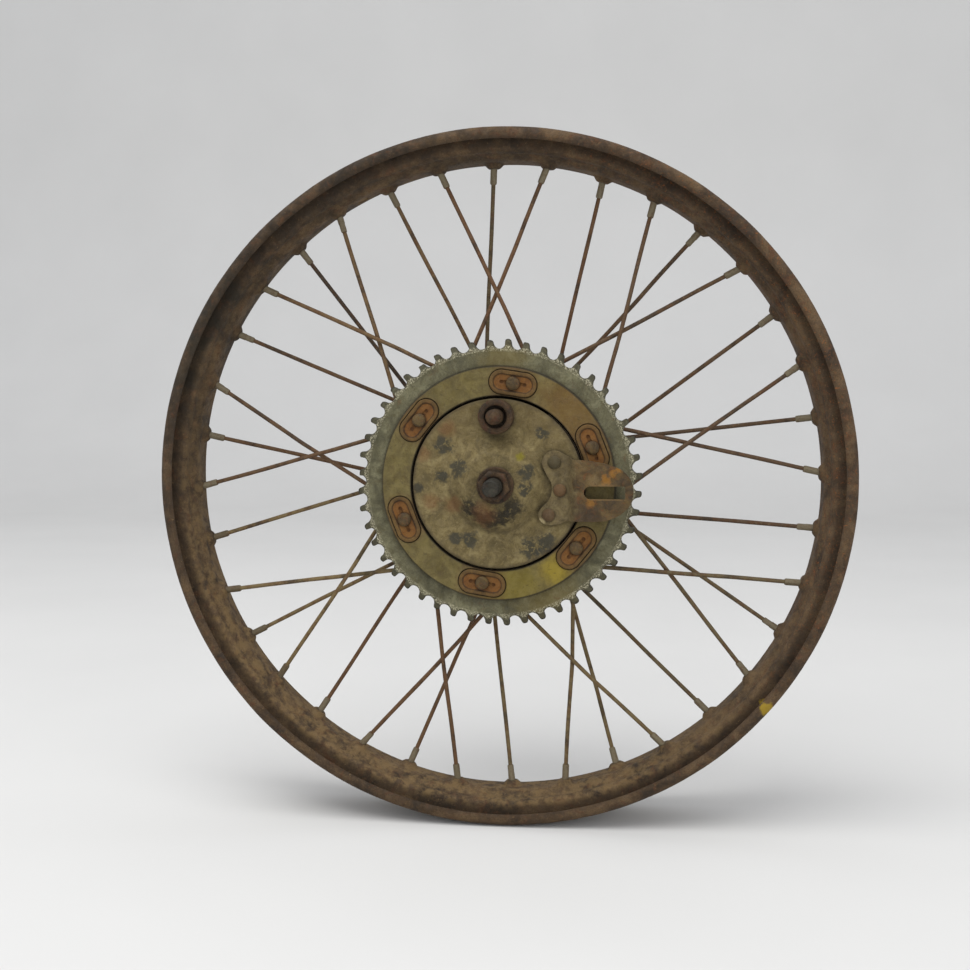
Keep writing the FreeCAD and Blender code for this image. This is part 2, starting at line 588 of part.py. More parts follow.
def make_right_shoe():
    middle = (SHOE[0] + SHOE[1]) / 2
    w0 = middle - WEB_SHEET / 2
    w1 = middle + WEB_SHEET / 2
    rim_outer = LINING_RADIUS - LINING_THICKNESS - TINY
    rim_inner = rim_outer - PLATFORM_THICKNESS
    platform = sector(rim_outer, rim_inner, LINING_HALF_ANGLE + 5, SHOE[0], SHOE[1])
    web = sector(rim_inner + 0.5, 39.0, LINING_HALF_ANGLE + 7, w0, w1)
    face = CAM_HALF_THICKNESS + 0.05
    pad = box(face, 24.0, w0 - 2, w1 + 2, PIVOT_HEIGHT - 8.5, PIVOT_HEIGHT + 7.0)
    pad = pad.common(cylinder(rim_inner + 0.5, w0 - 2, w1 + 2))
    heel = cylinder(11.0, w0, w1, 0, -PIVOT_HEIGHT)
    heel = heel.fuse(box(0, 26.0, w0, w1, -PIVOT_HEIGHT - 4, -PIVOT_HEIGHT + 9))
    heel = heel.common(cylinder(rim_inner + 3.5, w0, w1))
    heel = heel.common(box(0.5, 60, w0, w1, -70, 0))
    shoe = platform.fuse([web, pad, heel]).removeSplitter()
    cuts = [cylinder(ANCHOR_RADIUS + 0.05, w0 - 1, w1 + 1, 0, -PIVOT_HEIGHT)]
    for z in (SPRING_HEIGHT, -SPRING_HEIGHT):
        cuts.append(cylinder(2.6, w0 - 1, w1 + 1, SPRING_HOOK, z))
    for outward, station in lining_rivet_lines():
        cuts.append(Part.makeCylinder(1.6, 20, outward * 45 + station, outward))
    return shoe.cut(cuts)


def make_right_lining():
    lining = sector(LINING_RADIUS, LINING_RADIUS - LINING_THICKNESS, LINING_HALF_ANGLE, SHOE[0], SHOE[1])
    cuts = []
    sunk = LINING_RADIUS - 2.2
    for outward, station in lining_rivet_lines():
        cuts.append(Part.makeCylinder(1.6, 20, outward * 45 + station, outward))
        cuts.append(Part.makeCylinder(3.2, 6, outward * sunk + station, outward))
    return lining.cut(cuts)


def make_right_lining_rivets():
    rivets = []
    inner = LINING_RADIUS - LINING_THICKNESS - PLATFORM_THICKNESS
    sunk = LINING_RADIUS - 2.2
    for outward, station in lining_rivet_lines():
        shank = Part.makeCylinder(1.55, sunk - inner + 1.7, outward * (inner - 1.2) + station, outward)
        head = Part.makeCylinder(3.1, 1.0, outward * (sunk + TINY) + station, outward)
        tail = Part.makeCylinder(2.6, 1.1, outward * (inner - 1.25) + station, outward)
        rivets.append(shank.fuse([head, tail]).removeSplitter())
    return rivets


def mirrored(shape):
    return shape.mirror(CENTRE, FreeCAD.Vector(1, 0, 0))


def make_spring(z):
    """Closed coil with straight arms hooked through the webs of both shoes."""
    middle = (SHOE[0] + SHOE[1]) / 2
    turns = 13
    length = 30.0
    coil_d = middle + WEB_SHEET / 2 + SPRING_RADIUS + 1.4
    helix = Part.makeHelix(length / turns, length, SPRING_RADIUS - SPRING_WIRE)
    ring = Part.Wire([Part.makeCircle(SPRING_WIRE, FreeCAD.Vector(SPRING_RADIUS - SPRING_WIRE, 0, 0),
                                      FreeCAD.Vector(0, 1, 0))])
    coil = Part.Wire(helix).makePipeShell([ring], True, True)
    lying = FreeCAD.Rotation(FreeCAD.Vector(0, 1, 0), 90)
    coil.Placement = FreeCAD.Placement(vec(-length / 2, coil_d, z), lying)
    pieces = []
    for side in (-1, 1):
        coil_end = side * length / 2
        corner = vec(side * SPRING_HOOK, coil_d, z)
        foot = vec(coil_end, coil_d, z - SPRING_RADIUS + SPRING_WIRE / 2)
        pieces += [
            Part.makeCylinder(SPRING_WIRE, SPRING_HOOK - length / 2, vec(coil_end, coil_d, z),
                              FreeCAD.Vector(side, 0, 0)),
            Part.makeCylinder(SPRING_WIRE, 2 * SPRING_RADIUS - SPRING_WIRE, foot, FreeCAD.Vector(0, 0, 1)),
            Part.makeCylinder(SPRING_WIRE, coil_d - middle + 4.0, corner, FreeCAD.Vector(0, 1, 0)),
            Part.makeSphere(SPRING_WIRE, corner),
        ]
    return coil.fuse(pieces)


def main():
    os.makedirs("parts", exist_ok=True)
    lines = {name: SpokeLine(*data) for name, data in FAMILIES.items()}
    save("rim", make_rim(list(lines.values())))
    for name, line in lines.items():
        save("spokes_" + name, *ring_of(spoke(line), SPOKES_PER_FAMILY, FAMILY_STEP))
        save("nipples_" + name, *ring_of(nipple(line), SPOKES_PER_FAMILY, FAMILY_STEP))

    save("hub_shell", make_hub())
    save("sprocket", make_sprocket())
    save("clamp_ring", make_clamp_ring())
    save("lock_plates", *ring_of(make_lock_plate(), BOLT_COUNT, 60))
    save("sprocket_bolts", *ring_of(make_sprocket_bolt(), BOLT_COUNT, 60))
    make_bearing("left")
    make_bearing("right")
    left_cover, right_cover = make_dust_covers()
    save("dust_cover_left", left_cover)
    save("dust_cover_right", right_cover)

    bore = AXLE_BORE
    dome_back = DOME_FRONT - PLATE_SHEET
    left_face = BEARINGS["left"] + BEARING_WIDTH
    save("axle", make_axle())
    save("distance_tube", tube(8.5, bore, BEARINGS["right"] + BEARING_WIDTH, BEARINGS["left"]))
    save("spacer_left", tube(10.0, bore, left_face, dome_back - TINY))
    save("spacer_right", tube(10.0, bore, FAR_SPACER_END, BEARINGS["right"]))
    save("washer_left", tube(WASHER_RADIUS, bore, DOME_FRONT + TINY, DOME_FRONT + WASHER_THICKNESS))
    nut_base = DOME_FRONT + WASHER_THICKNESS + TINY
    save("axle_nut_left", hexagon(NUT_FLATS, nut_base, nut_base + NUT_HEIGHT, bore))
    save("washer_right", tube(WASHER_RADIUS, bore, FAR_SPACER_END - WASHER_THICKNESS, FAR_SPACER_END - TINY))
    nut_base = FAR_SPACER_END - WASHER_THICKNESS - TINY
    save("axle_nut_right", hexagon(NUT_FLATS, nut_base - NUT_HEIGHT, nut_base, bore))

    save("brake_plate", make_brake_plate())
    save("cam_boss", make_cam_boss())
    save("cam_spindle", make_cam())
    save("torque_arm", make_torque_arm())
    save("arm_rivets", *[make_arm_rivet(x, z) for x, z in ARM_RIVETS])
    plate_back = PLATE_FRONT - PLATE_SHEET - TINY
    save("anchor_pin", cylinder(ANCHOR_RADIUS, SHOE[0] + 2, plate_back, 0, -PIVOT_HEIGHT))
    right = make_right_shoe()
    lining = make_right_lining()
    rivets = make_right_lining_rivets()
    save("shoe_right", right)
    save("lining_right", lining)
    save("lining_rivets_right", *rivets)
    save("shoe_left", mirrored(right))
    save("lining_left", mirrored(lining))
    save("lining_rivets_left", *[mirrored(r) for r in rivets])
    save("spring_upper", make_spring(SPRING_HEIGHT))
    save("spring_lower", make_spring(-SPRING_HEIGHT))


main()
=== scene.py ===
import math
import random

import bmesh
import bpy
from mathutils import Matrix, Vector, noise


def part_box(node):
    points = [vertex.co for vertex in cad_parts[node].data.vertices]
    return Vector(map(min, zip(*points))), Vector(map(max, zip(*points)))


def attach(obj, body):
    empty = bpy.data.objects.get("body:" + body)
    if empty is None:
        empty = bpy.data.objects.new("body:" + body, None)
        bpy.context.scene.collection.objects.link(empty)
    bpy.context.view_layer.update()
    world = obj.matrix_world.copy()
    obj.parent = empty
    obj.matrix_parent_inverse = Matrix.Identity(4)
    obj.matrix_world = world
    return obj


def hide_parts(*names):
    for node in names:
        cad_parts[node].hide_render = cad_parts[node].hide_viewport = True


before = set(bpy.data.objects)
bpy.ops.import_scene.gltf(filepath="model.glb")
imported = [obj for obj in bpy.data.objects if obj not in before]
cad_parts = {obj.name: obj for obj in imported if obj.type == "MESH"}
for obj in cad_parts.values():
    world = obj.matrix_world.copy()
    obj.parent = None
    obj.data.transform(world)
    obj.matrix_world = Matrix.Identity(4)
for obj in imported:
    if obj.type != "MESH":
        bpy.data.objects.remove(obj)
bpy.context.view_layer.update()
random.seed(7)

# Lengths are in millimetres and become metres when a mesh is made.
# Stations d run along the axle from the middle of the rim towards the brake side, so y = -d.
MM = 0.001

SPOKES_PER_FAMILY = 9
FAMILY_STEP = 40.0
VALVE_ANGLE = 116.5


# ---------------------------------------------------------------- sizes, some read from the CAD parts and some given


def span(node):
    """Lowest and highest (x, d, z) of a CAD node in millimetres."""
    low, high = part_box(node)
    return (low.x / MM, -high.y / MM, low.z / MM), (high.x / MM, -low.y / MM, high.z / MM)


def half_width(node):
    low, high = span(node)
    return (high[0] - low[0]) / 2


def stations(node):
    low, high = span(node)
    return low[1], high[1]


def middle(node):
    low, high = span(node)
    return (low[0] + high[0]) / 2, (low[2] + high[2]) / 2


RIM_RADIUS = span("rim")[1][2]
RIM_HALF_WIDTH = stations("rim")[1]
CURL_RADIUS = 5.5
SHEET = 1.8
WELL_RADIUS = RIM_RADIUS - 20.2
BEAD_RADIUS = RIM_RADIUS - 14.4
SPROCKET_TIP = span("sprocket")[1][0]
SPROCKET_D = stations("sprocket")
RING_D = stations("clamp_ring")
RING_OUTER = half_width("clamp_ring")
RING_INNER = RING_OUTER - 20.1
LOCK_D = stations("lock_plates")
BOLT_D = stations("sprocket_bolts")
BOLT_CIRCLE = 69.6
BOLT_PHASE = 21.0
PLATE_RADIUS = half_width("brake_plate")
PLATE_BACK, DOME_FRONT = stations("brake_plate")
PLATE_FRONT = PLATE_BACK + 3.0
CAM_X, CAM_Z = middle("cam_boss")
CAM_BOSS_FRONT = stations("cam_boss")[1]
CAM_BOSS_RADIUS = half_width("cam_boss")
CAM_FRONT = stations("cam_spindle")[1]
ARM_FRONT = stations("torque_arm")[1]
ARM_SHEET = 3.5
ARM_RIVETS = [(39.4, 15.2), (43.2, -3.8), (35.5, -20.7)]


# ---------------------------------------------------------------- mesh helpers


def point(x, d, z):
    return Vector((x * MM, -d * MM, z * MM))


def around(radius, degrees, d):
    a = math.radians(degrees)
    return point(radius * math.cos(a), d, radius * math.sin(a))


def new_object(name, verts, faces, sharp=35.0):
    mesh = bpy.data.meshes.new(name)
    mesh.from_pydata([tuple(v) for v in verts], [], faces)
    mesh.validate()
    work = bmesh.new()
    work.from_mesh(mesh)
    bmesh.ops.recalc_face_normals(work, faces=work.faces)
    work.to_mesh(mesh)
    work.free()
    mesh.shade_smooth()
    mesh.set_sharp_from_angle(angle=math.radians(sharp))
    obj = bpy.data.objects.new(name, mesh)
    bpy.context.scene.collection.objects.link(obj)
    return obj


def grid_faces(rows, columns, start=0, wrap_rows=False, wrap_columns=True):
    faces = []
    for i in range(rows if wrap_rows else rows - 1):
        for j in range(columns if wrap_columns else columns - 1):
            a = start + i * columns + j
            b = start + i * columns + (j + 1) % columns
            c = start + ((i + 1) % rows) * columns + (j + 1) % columns
            e = start + ((i + 1) % rows) * columns + j
            faces.append((a, b, c, e))
    return faces


def arc(centre, radius, start, end, count):
    """Points (r, d) on an arc; the angle runs from +r towards +d."""
    points = []
    for k in range(count + 1):
        a = math.radians(start + (end - start) * k / count)
        points.append((centre[0] + radius * math.cos(a), centre[1] + radius * math.sin(a)))
    return points


def line(a, b, count):
    return [(a[0] + (b[0] - a[0]) * k / count, a[1] + (b[1] - a[1]) * k / count) for k in range(1, count + 1)]


def rough(p, size, amount, seed=0.0):
    """Small irregular offset of a point, for corroded and dented metal."""
    shift = noise.noise_vector(p / (size * MM) + Vector((seed, 2 * seed, -seed)))
    return p + shift * amount * MM


def lathe(name, profile, steps=96, centre=(0.0, 0.0), closed=False, wear=0.0, bevel=0.0, shape=None):
    """Turned piece from (r, d) points.  shape(angle) may scale the radius, for flats or lobes."""
    verts = []
    rows = []
    for r, d in profile:
        if r < 1e-6:
            rows.append([len(verts)] * steps)
            verts.append(point(centre[0], d, centre[1]))
            continue
        row = []
        for k in range(steps):
            a = 2 * math.pi * k / steps
            s = shape(a, d) if shape else 1.0
            p = point(centre[0] + r * s * math.cos(a), d, centre[1] + r * s * math.sin(a))
            row.append(len(verts))
            verts.append(rough(p, 2.5, wear, centre[0] + centre[1]) if wear else p)
        rows.append(row)
    faces = []
    pairs = list(zip(rows, rows[1:])) + ([(rows[-1], rows[0])] if closed else [])
    for upper, lower in pairs:
        for k in range(steps):
            j = (k + 1) % steps
            corners = [upper[k], upper[j], lower[j], lower[k]]
            kept = list(dict.fromkeys(corners))
            if len(kept) > 2:
                faces.append(kept)
    obj = new_object(name, verts, faces)
    if bevel:
        add_bevel(obj, bevel)
    return obj


def add_bevel(obj, width, segments=3, angle=40.0):
    modifier = obj.modifiers.new("edges", "BEVEL")
    modifier.width = width * MM
    modifier.segments = segments
    modifier.limit_method = "ANGLE"
    modifier.angle_limit = math.radians(angle)
    modifier.harden_normals = True
    return modifier


def joined(name, objects):
    """One piece from several meshes that share a material and a body."""
    bpy.ops.object.select_all(action="DESELECT")
    for obj in objects:
        obj.select_set(True)
    bpy.context.view_layer.objects.active = objects[0]
    bpy.ops.object.join()
    objects[0].name = name
    return objects[0]


def turned_copy(obj, degrees):
    """Copy turned about the wheel axis, counter-clockwise as seen from the brake side."""
    copy = obj.copy()
    copy.data = obj.data.copy()
    copy.data.transform(Matrix.Rotation(math.radians(-degrees), 4, "Y"))
    bpy.context.scene.collection.objects.link(copy)
    return copy


def smoothstep(a, b, x):
    t = min(1.0, max(0.0, (x - a) / (b - a)))
    return t * t * (3 - 2 * t)


def put(obj, body, material, *nodes):
    obj.data.materials.clear()
    obj.data.materials.append(material)
    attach(obj, body)
    if nodes:
        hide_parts(*nodes)
    return obj


# ---------------------------------------------------------------- shader helpers


class Shader:
    """Small builder for one procedural material that works in the wheel's own coordinates."""

    def __init__(self, name):
        self.material = bpy.data.materials.new(name)
        self.material.use_nodes = True
        self.tree = self.material.node_tree
        self.tree.nodes.clear()
        self.output = self.node("ShaderNodeOutputMaterial")
        self.surface = self.node("ShaderNodeBsdfPrincipled")
        self.link(self.surface.outputs["BSDF"], self.output.inputs["Surface"])
        self.coords = self.node("ShaderNodeTexCoord").outputs["Object"]
        parts = self.node("ShaderNodeSeparateXYZ")
        self.link(self.coords, parts.inputs[0])
        self.x, self.y, self.z = parts.outputs[0], parts.outputs[1], parts.outputs[2]

    def node(self, kind):
        return self.tree.nodes.new(kind)

    def link(self, a, b):
        self.tree.links.new(a, b)

    def feed(self, value, socket):
        if isinstance(value, bpy.types.NodeSocket):
            self.link(value, socket)
        else:
            socket.default_value = value

    def math(self, operation, a, b=0.0, clamp=False):
        n = self.node("ShaderNodeMath")
        n.operation = operation
        n.use_clamp = clamp
        self.feed(a, n.inputs[0])
        self.feed(b, n.inputs[1])
        return n.outputs[0]

    def noise(self, size, detail=5.0, roughness=0.6, distortion=0.0, vector=None):
        """Cloudy pattern whose features are about size millimetres across."""
        n = self.node("ShaderNodeTexNoise")
        self.link(vector or self.coords, n.inputs["Vector"])
        n.inputs["Scale"].default_value = 1.0 / (size * MM)
        n.inputs["Detail"].default_value = detail
        n.inputs["Roughness"].default_value = roughness
        n.inputs["Distortion"].default_value = distortion
        return n.outputs["Fac"]

    def cells(self, size, feature="F1", randomness=1.0):
        n = self.node("ShaderNodeTexVoronoi")
        n.feature = feature
        self.link(self.coords, n.inputs["Vector"])
        n.inputs["Scale"].default_value = 1.0 / (size * MM)
        n.inputs["Randomness"].default_value = randomness
        return n.outputs["Distance"]

    def step(self, value, low, high, out_low=0.0, out_high=1.0):
        """Smooth change of value from low to high."""
        n = self.node("ShaderNodeMapRange")
        n.interpolation_type = "SMOOTHSTEP"
        self.feed(value, n.inputs["Value"])
        n.inputs["From Min"].default_value = low
        n.inputs["From Max"].default_value = high
        n.inputs["To Min"].default_value = out_low
        n.inputs["To Max"].default_value = out_high
        return n.outputs["Result"]

    def mix(self, factor, a, b, mode="MIX"):
        n = self.node("ShaderNodeMix")
        n.data_type = "RGBA"
        n.blend_type = mode
        self.feed(factor, n.inputs[0])
        self.feed(a if isinstance(a, bpy.types.NodeSocket) else (*a, 1.0), n.inputs[6])
        self.feed(b if isinstance(b, bpy.types.NodeSocket) else (*b, 1.0), n.inputs[7])
        return n.outputs[2]

    def ramp(self, factor, stops):
        n = self.node("ShaderNodeValToRGB")
        while len(n.color_ramp.elements) < len(stops):
            n.color_ramp.elements.new(0.5)
        for element, (place, colour) in zip(n.color_ramp.elements, stops):
            element.position = place
            element.color = (*colour, 1.0)
        self.link(factor, n.inputs[0])
        return n.outputs[0]

    def radius(self):
        """Distance from the wheel axis in millimetres."""
        flat = self.node("ShaderNodeCombineXYZ")
        self.link(self.x, flat.inputs[0])
        self.link(self.z, flat.inputs[2])
        n = self.node("ShaderNodeVectorMath")
        n.operation = "LENGTH"
        self.link(flat.outputs[0], n.inputs[0])
        return self.math("DIVIDE", n.outputs["Value"], MM)

    def near(self, x, z, size, soft=0.5, ragged=0.0, grain=6.0):
        """1 close to the (x, z) place, falling to 0 at size millimetres, with a ragged border."""
        flat = self.node("ShaderNodeCombineXYZ")
        self.link(self.x, flat.inputs[0])
        self.link(self.z, flat.inputs[2])
        n = self.node("ShaderNodeVectorMath")
        n.operation = "DISTANCE"
        self.link(flat.outputs[0], n.inputs[0])
        n.inputs[1].default_value = (x * MM, 0.0, z * MM)
        away = self.math("DIVIDE", n.outputs["Value"], size * MM)
        if ragged:
            wave = self.math("SUBTRACT", self.noise(grain, 4.0), 0.5)
            away = self.math("ADD", away, self.math("MULTIPLY", wave, ragged))
        return self.step(away, 1.0, 1.0 - soft)

    def toward(self, degrees):
        """Cosine of the angle between this place on the wheel and a direction in its plane."""
        a = math.radians(degrees)
        along = self.math("ADD", self.math("MULTIPLY", self.x, math.cos(a)),
                          self.math("MULTIPLY", self.z, math.sin(a)))
        return self.math("DIVIDE", self.math("DIVIDE", along, MM), self.math("MAXIMUM", self.radius(), 1.0))

    def occlusion_shade(self, size=5.0, low=0.35, high=0.9):
        """Mask for painted shade: 1 in corners and gaps within size millimetres, where shade falls, 0 on open
        surfaces.
        """
        n = self.node("ShaderNodeAmbientOcclusion")
        n.samples = 6
        n.inputs["Distance"].default_value = size * MM
        return self.step(n.outputs["AO"], high, low)

    def attribute(self, name):
        n = self.node("ShaderNodeAttribute")
        n.attribute_name = name
        return n.outputs["Fac"]

    def island(self):
        return self.node("ShaderNodeNewGeometry").outputs["Random Per Island"]

    def bump(self, height, depth, strength=1.0, below=None):
        n = self.node("ShaderNodeBump")
        n.inputs["Strength"].default_value = strength
        n.inputs["Distance"].default_value = depth * MM
        self.link(height, n.inputs["Height"])
        if below is not None:
            self.link(below, n.inputs["Normal"])
        return n.outputs["Normal"]

    def tinted(self, colour, r, g, b):
        """The colour under a thin even film of dirt, which lets this share of each light through."""
        n = self.node("ShaderNodeMix")
        n.data_type = "RGBA"
        n.blend_type = "MULTIPLY"
        n.inputs["Factor"].default_value = 1.0
        self.link(colour, n.inputs[6])
        n.inputs[7].default_value = (r, g, b, 1.0)
        return n.outputs[2]

    def finish(self, colour, roughness, metallic=0.0, normal=None, specular=0.35):
        self.feed(colour if isinstance(colour, bpy.types.NodeSocket) else (*colour, 1.0),
                  self.surface.inputs["Base Color"])
        self.feed(roughness, self.surface.inputs["Roughness"])
        self.feed(metallic, self.surface.inputs["Metallic"])
        self.surface.inputs["Specular IOR Level"].default_value = specular
        if normal is not None:
            self.link(normal, self.surface.inputs["Normal"])
        return self.material


def rgb(r, g, b):
    """Linear colour from display values 0 to 255."""
    out = []
    for c in (r, g, b):
        c = c / 255
        out.append(c / 12.92 if c <= 0.04045 else ((c + 0.055) / 1.055) ** 2.4)
    return tuple(out)


# ---------------------------------------------------------------- materials


def rust_layers(s, dark, middle, light, red, size=9.0):
    """Blotchy rust from four colours, mixed by patterns at three sizes."""
    broad = s.ramp(s.noise(size * 2.4, 7, 0.66, 0.6), [(0.38, dark), (0.5, middle), (0.62, light)])
    patches = s.step(s.noise(size, 8, 0.72, 0.8), 0.52, 0.63)
    base = s.mix(s.math("MULTIPLY", patches, 0.75), broad, red)
    mottle = s.step(s.noise(size * 0.3, 7, 0.75, 0.5), 0.5, 0.62)
    base = s.mix(s.math("MULTIPLY", mottle, 0.4), base, light)
    grain = s.step(s.noise(size * 0.1, 4, 0.75), 0.48, 0.62)
    return s.mix(s.math("MULTIPLY", grain, 0.5), base, dark)


def scale_bump(s, fine=0.6, coarse=5.0, depth=0.25):
    """Pitted, scabby surface of rusted steel."""
    swell = s.bump(s.noise(coarse, 6, 0.65), depth * 2.4, 0.9)
    pits = s.step(s.cells(fine * 3.2), 0.0, 0.45)
    pitted = s.bump(pits, depth * 0.5, 0.6, swell)
    return s.bump(s.noise(fine, 6, 0.8), depth * 1.2, 0.9, pitted)


def rim_material():
    s = Shader("rim_rust")
    r = s.radius()
    colour = rust_layers(s, rgb(48, 38, 29), rgb(72, 56, 41), rgb(94, 75, 55), rgb(84, 55, 36), 10.0)
    # painted shade: the rim's concave groove, round radius 232 to 234 mm, is darkened
    groove_shade = s.math("MULTIPLY", s.step(r, 228.5, 232.0), s.step(r, 238.5, 234.0))
    colour = s.mix(s.math("MULTIPLY", groove_shade, 0.4), colour, rgb(48, 38, 30))
    upper_left = s.step(s.toward(140), 0.35, 0.9)
    soot = s.math("MULTIPLY", s.math("MULTIPLY", upper_left, s.step(s.noise(15, 6, 0.66), 0.44, 0.58)), 0.6)
    colour = s.mix(soot, colour, rgb(42, 35, 28))
    low = s.math("MULTIPLY", s.step(s.toward(-115), -0.1, 0.85), s.step(r, 236.0, 228.0))
    low = s.math("MULTIPLY", low, s.step(s.noise(7, 7, 0.7), 0.4, 0.6))
    colour = s.mix(s.math("MULTIPLY", low, 0.7), colour, rgb(116, 95, 66))
    inner = s.math("MULTIPLY", s.step(r, 230.5, 226.0), s.step(s.noise(5, 7, 0.74), 0.44, 0.66))
    colour = s.mix(s.math("MULTIPLY", inner, 0.4), colour, rgb(104, 86, 62))
    right = s.step(s.toward(25), 0.3, 0.95)
    flecks = s.math("MULTIPLY", right, s.step(s.noise(2.2, 6, 0.78, 1.0), 0.56, 0.66))
    colour = s.mix(s.math("MULTIPLY", flecks, 0.65), colour, rgb(146, 84, 38))
    scattered = s.step(s.noise(1.5, 5, 0.75, 0.6), 0.61, 0.69)
    colour = s.mix(s.math("MULTIPLY", scattered, 0.55), colour, rgb(132, 108, 80))
    brake_side = s.step(s.y, 0.002, -0.002)
    paint = s.math("MULTIPLY", s.near(184.0, -154.0, 5.5, 0.35, 1.1, 3.0), brake_side)
    colour = s.mix(s.math("MULTIPLY", paint, 0.85), colour, rgb(150, 126, 36))
    # painted shade: darker in corners and gaps, where shade falls
    colour = s.mix(s.math("MULTIPLY", s.occlusion_shade(6.0), 0.45), colour, rgb(32, 26, 20))
    rough_value = s.step(s.noise(4.0, 5, 0.7), 0.3, 0.7, 0.68, 0.95)
    for x, z, size in ((-226.0, 75.0, 15.0), (-216.0, 98.0, 13.0), (-206.0, 116.0, 14.0), (-191.0, 136.5, 12.0)):
        soot = s.math("MULTIPLY", s.near(x, z, size, 0.7, 1.4, 9.0), brake_side)
        colour = s.mix(s.math("MULTIPLY", soot, 0.6), colour, rgb(36, 33, 27))
    colour = s.tinted(colour, 0.96, 0.94, 0.81)
    return s.finish(colour, rough_value, 0.0, scale_bump(s, 0.7, 7.0, 0.24), 0.3)


def spoke_material():
    s = Shader("spoke_rust")
    tone = s.ramp(s.island(), [(0.0, rgb(54, 46, 38)), (0.22, rgb(88, 66, 46)), (0.45, rgb(104, 82, 56)),
                               (0.66, rgb(90, 62, 42)), (0.85, rgb(112, 96, 68)), (1.0, rgb(50, 46, 40))])
    spots = s.step(s.noise(5.0, 7, 0.74, 0.5), 0.46, 0.6)
    colour = s.mix(s.math("MULTIPLY", spots, 0.6), tone, rgb(84, 54, 34))
    dark = s.step(s.noise(14.0, 6, 0.66), 0.5, 0.64)
    colour = s.mix(s.math("MULTIPLY", dark, 0.65), colour, rgb(44, 37, 31))
    dust = s.step(s.noise(1.8, 6, 0.75), 0.54, 0.68)
    colour = s.mix(s.math("MULTIPLY", dust, 0.5), colour, rgb(130, 112, 84))
    rough_value = s.step(s.noise(2.5, 5, 0.7), 0.3, 0.7, 0.6, 0.9)
    colour = s.tinted(colour, 0.96, 0.94, 0.79)
    return s.finish(colour, rough_value, 0.0, scale_bump(s, 0.35, 2.2, 0.12), 0.35)


def nipple_material():
    s = Shader("nipple_steel")
    tone = s.ramp(s.island(), [(0.0, rgb(92, 80, 58)), (0.35, rgb(112, 102, 80)), (0.62, rgb(98, 82, 56)),
                               (0.85, rgb(80, 60, 42)), (1.0, rgb(122, 114, 92))])
    rust = s.step(s.noise(3.0, 7, 0.74, 0.6), 0.5, 0.64)
    colour = s.mix(s.math("MULTIPLY", rust, 0.65), tone, rgb(86, 58, 38))
    grime = s.step(s.noise(1.2, 6, 0.75), 0.54, 0.68)
    colour = s.mix(s.math("MULTIPLY", grime, 0.6), colour, rgb(50, 43, 34))
    paint = s.math("MULTIPLY", s.near(173.0, -146.0, 8.0, 0.5, 0.7, 2.5), s.step(s.y, 0.002, -0.002))
    colour = s.mix(s.math("MULTIPLY", paint, 0.6), colour, rgb(158, 142, 56))
    # painted shade: darker in corners and gaps, where shade falls
    colour = s.mix(s.math("MULTIPLY", s.occlusion_shade(2.5), 0.6), colour, rgb(30, 25, 20))
    rough_value = s.step(s.noise(2.0, 5, 0.7), 0.3, 0.7, 0.5, 0.85)
    return s.finish(colour, rough_value, 0.1, scale_bump(s, 0.3, 1.8, 0.1), 0.4)


def hub_material():
    s = Shader("hub_steel")
    colour = rust_layers(s, rgb(50, 45, 36), rgb(78, 70, 55), rgb(100, 91, 72), rgb(88, 64, 42), 12.0)
    oil = s.step(s.noise(20, 6, 0.66, 0.4), 0.5, 0.64)
    colour = s.mix(s.math("MULTIPLY", oil, 0.6), colour, rgb(38, 35, 30))
    # painted shade: darker in corners and gaps, where shade falls
    colour = s.mix(s.math("MULTIPLY", s.occlusion_shade(6.0), 0.6), colour, rgb(26, 22, 18))
    rough_value = s.step(s.noise(9.0, 5, 0.65), 0.35, 0.7, 0.5, 0.85)
    return s.finish(colour, rough_value, 0.1, scale_bump(s, 0.8, 5.0, 0.18), 0.35)


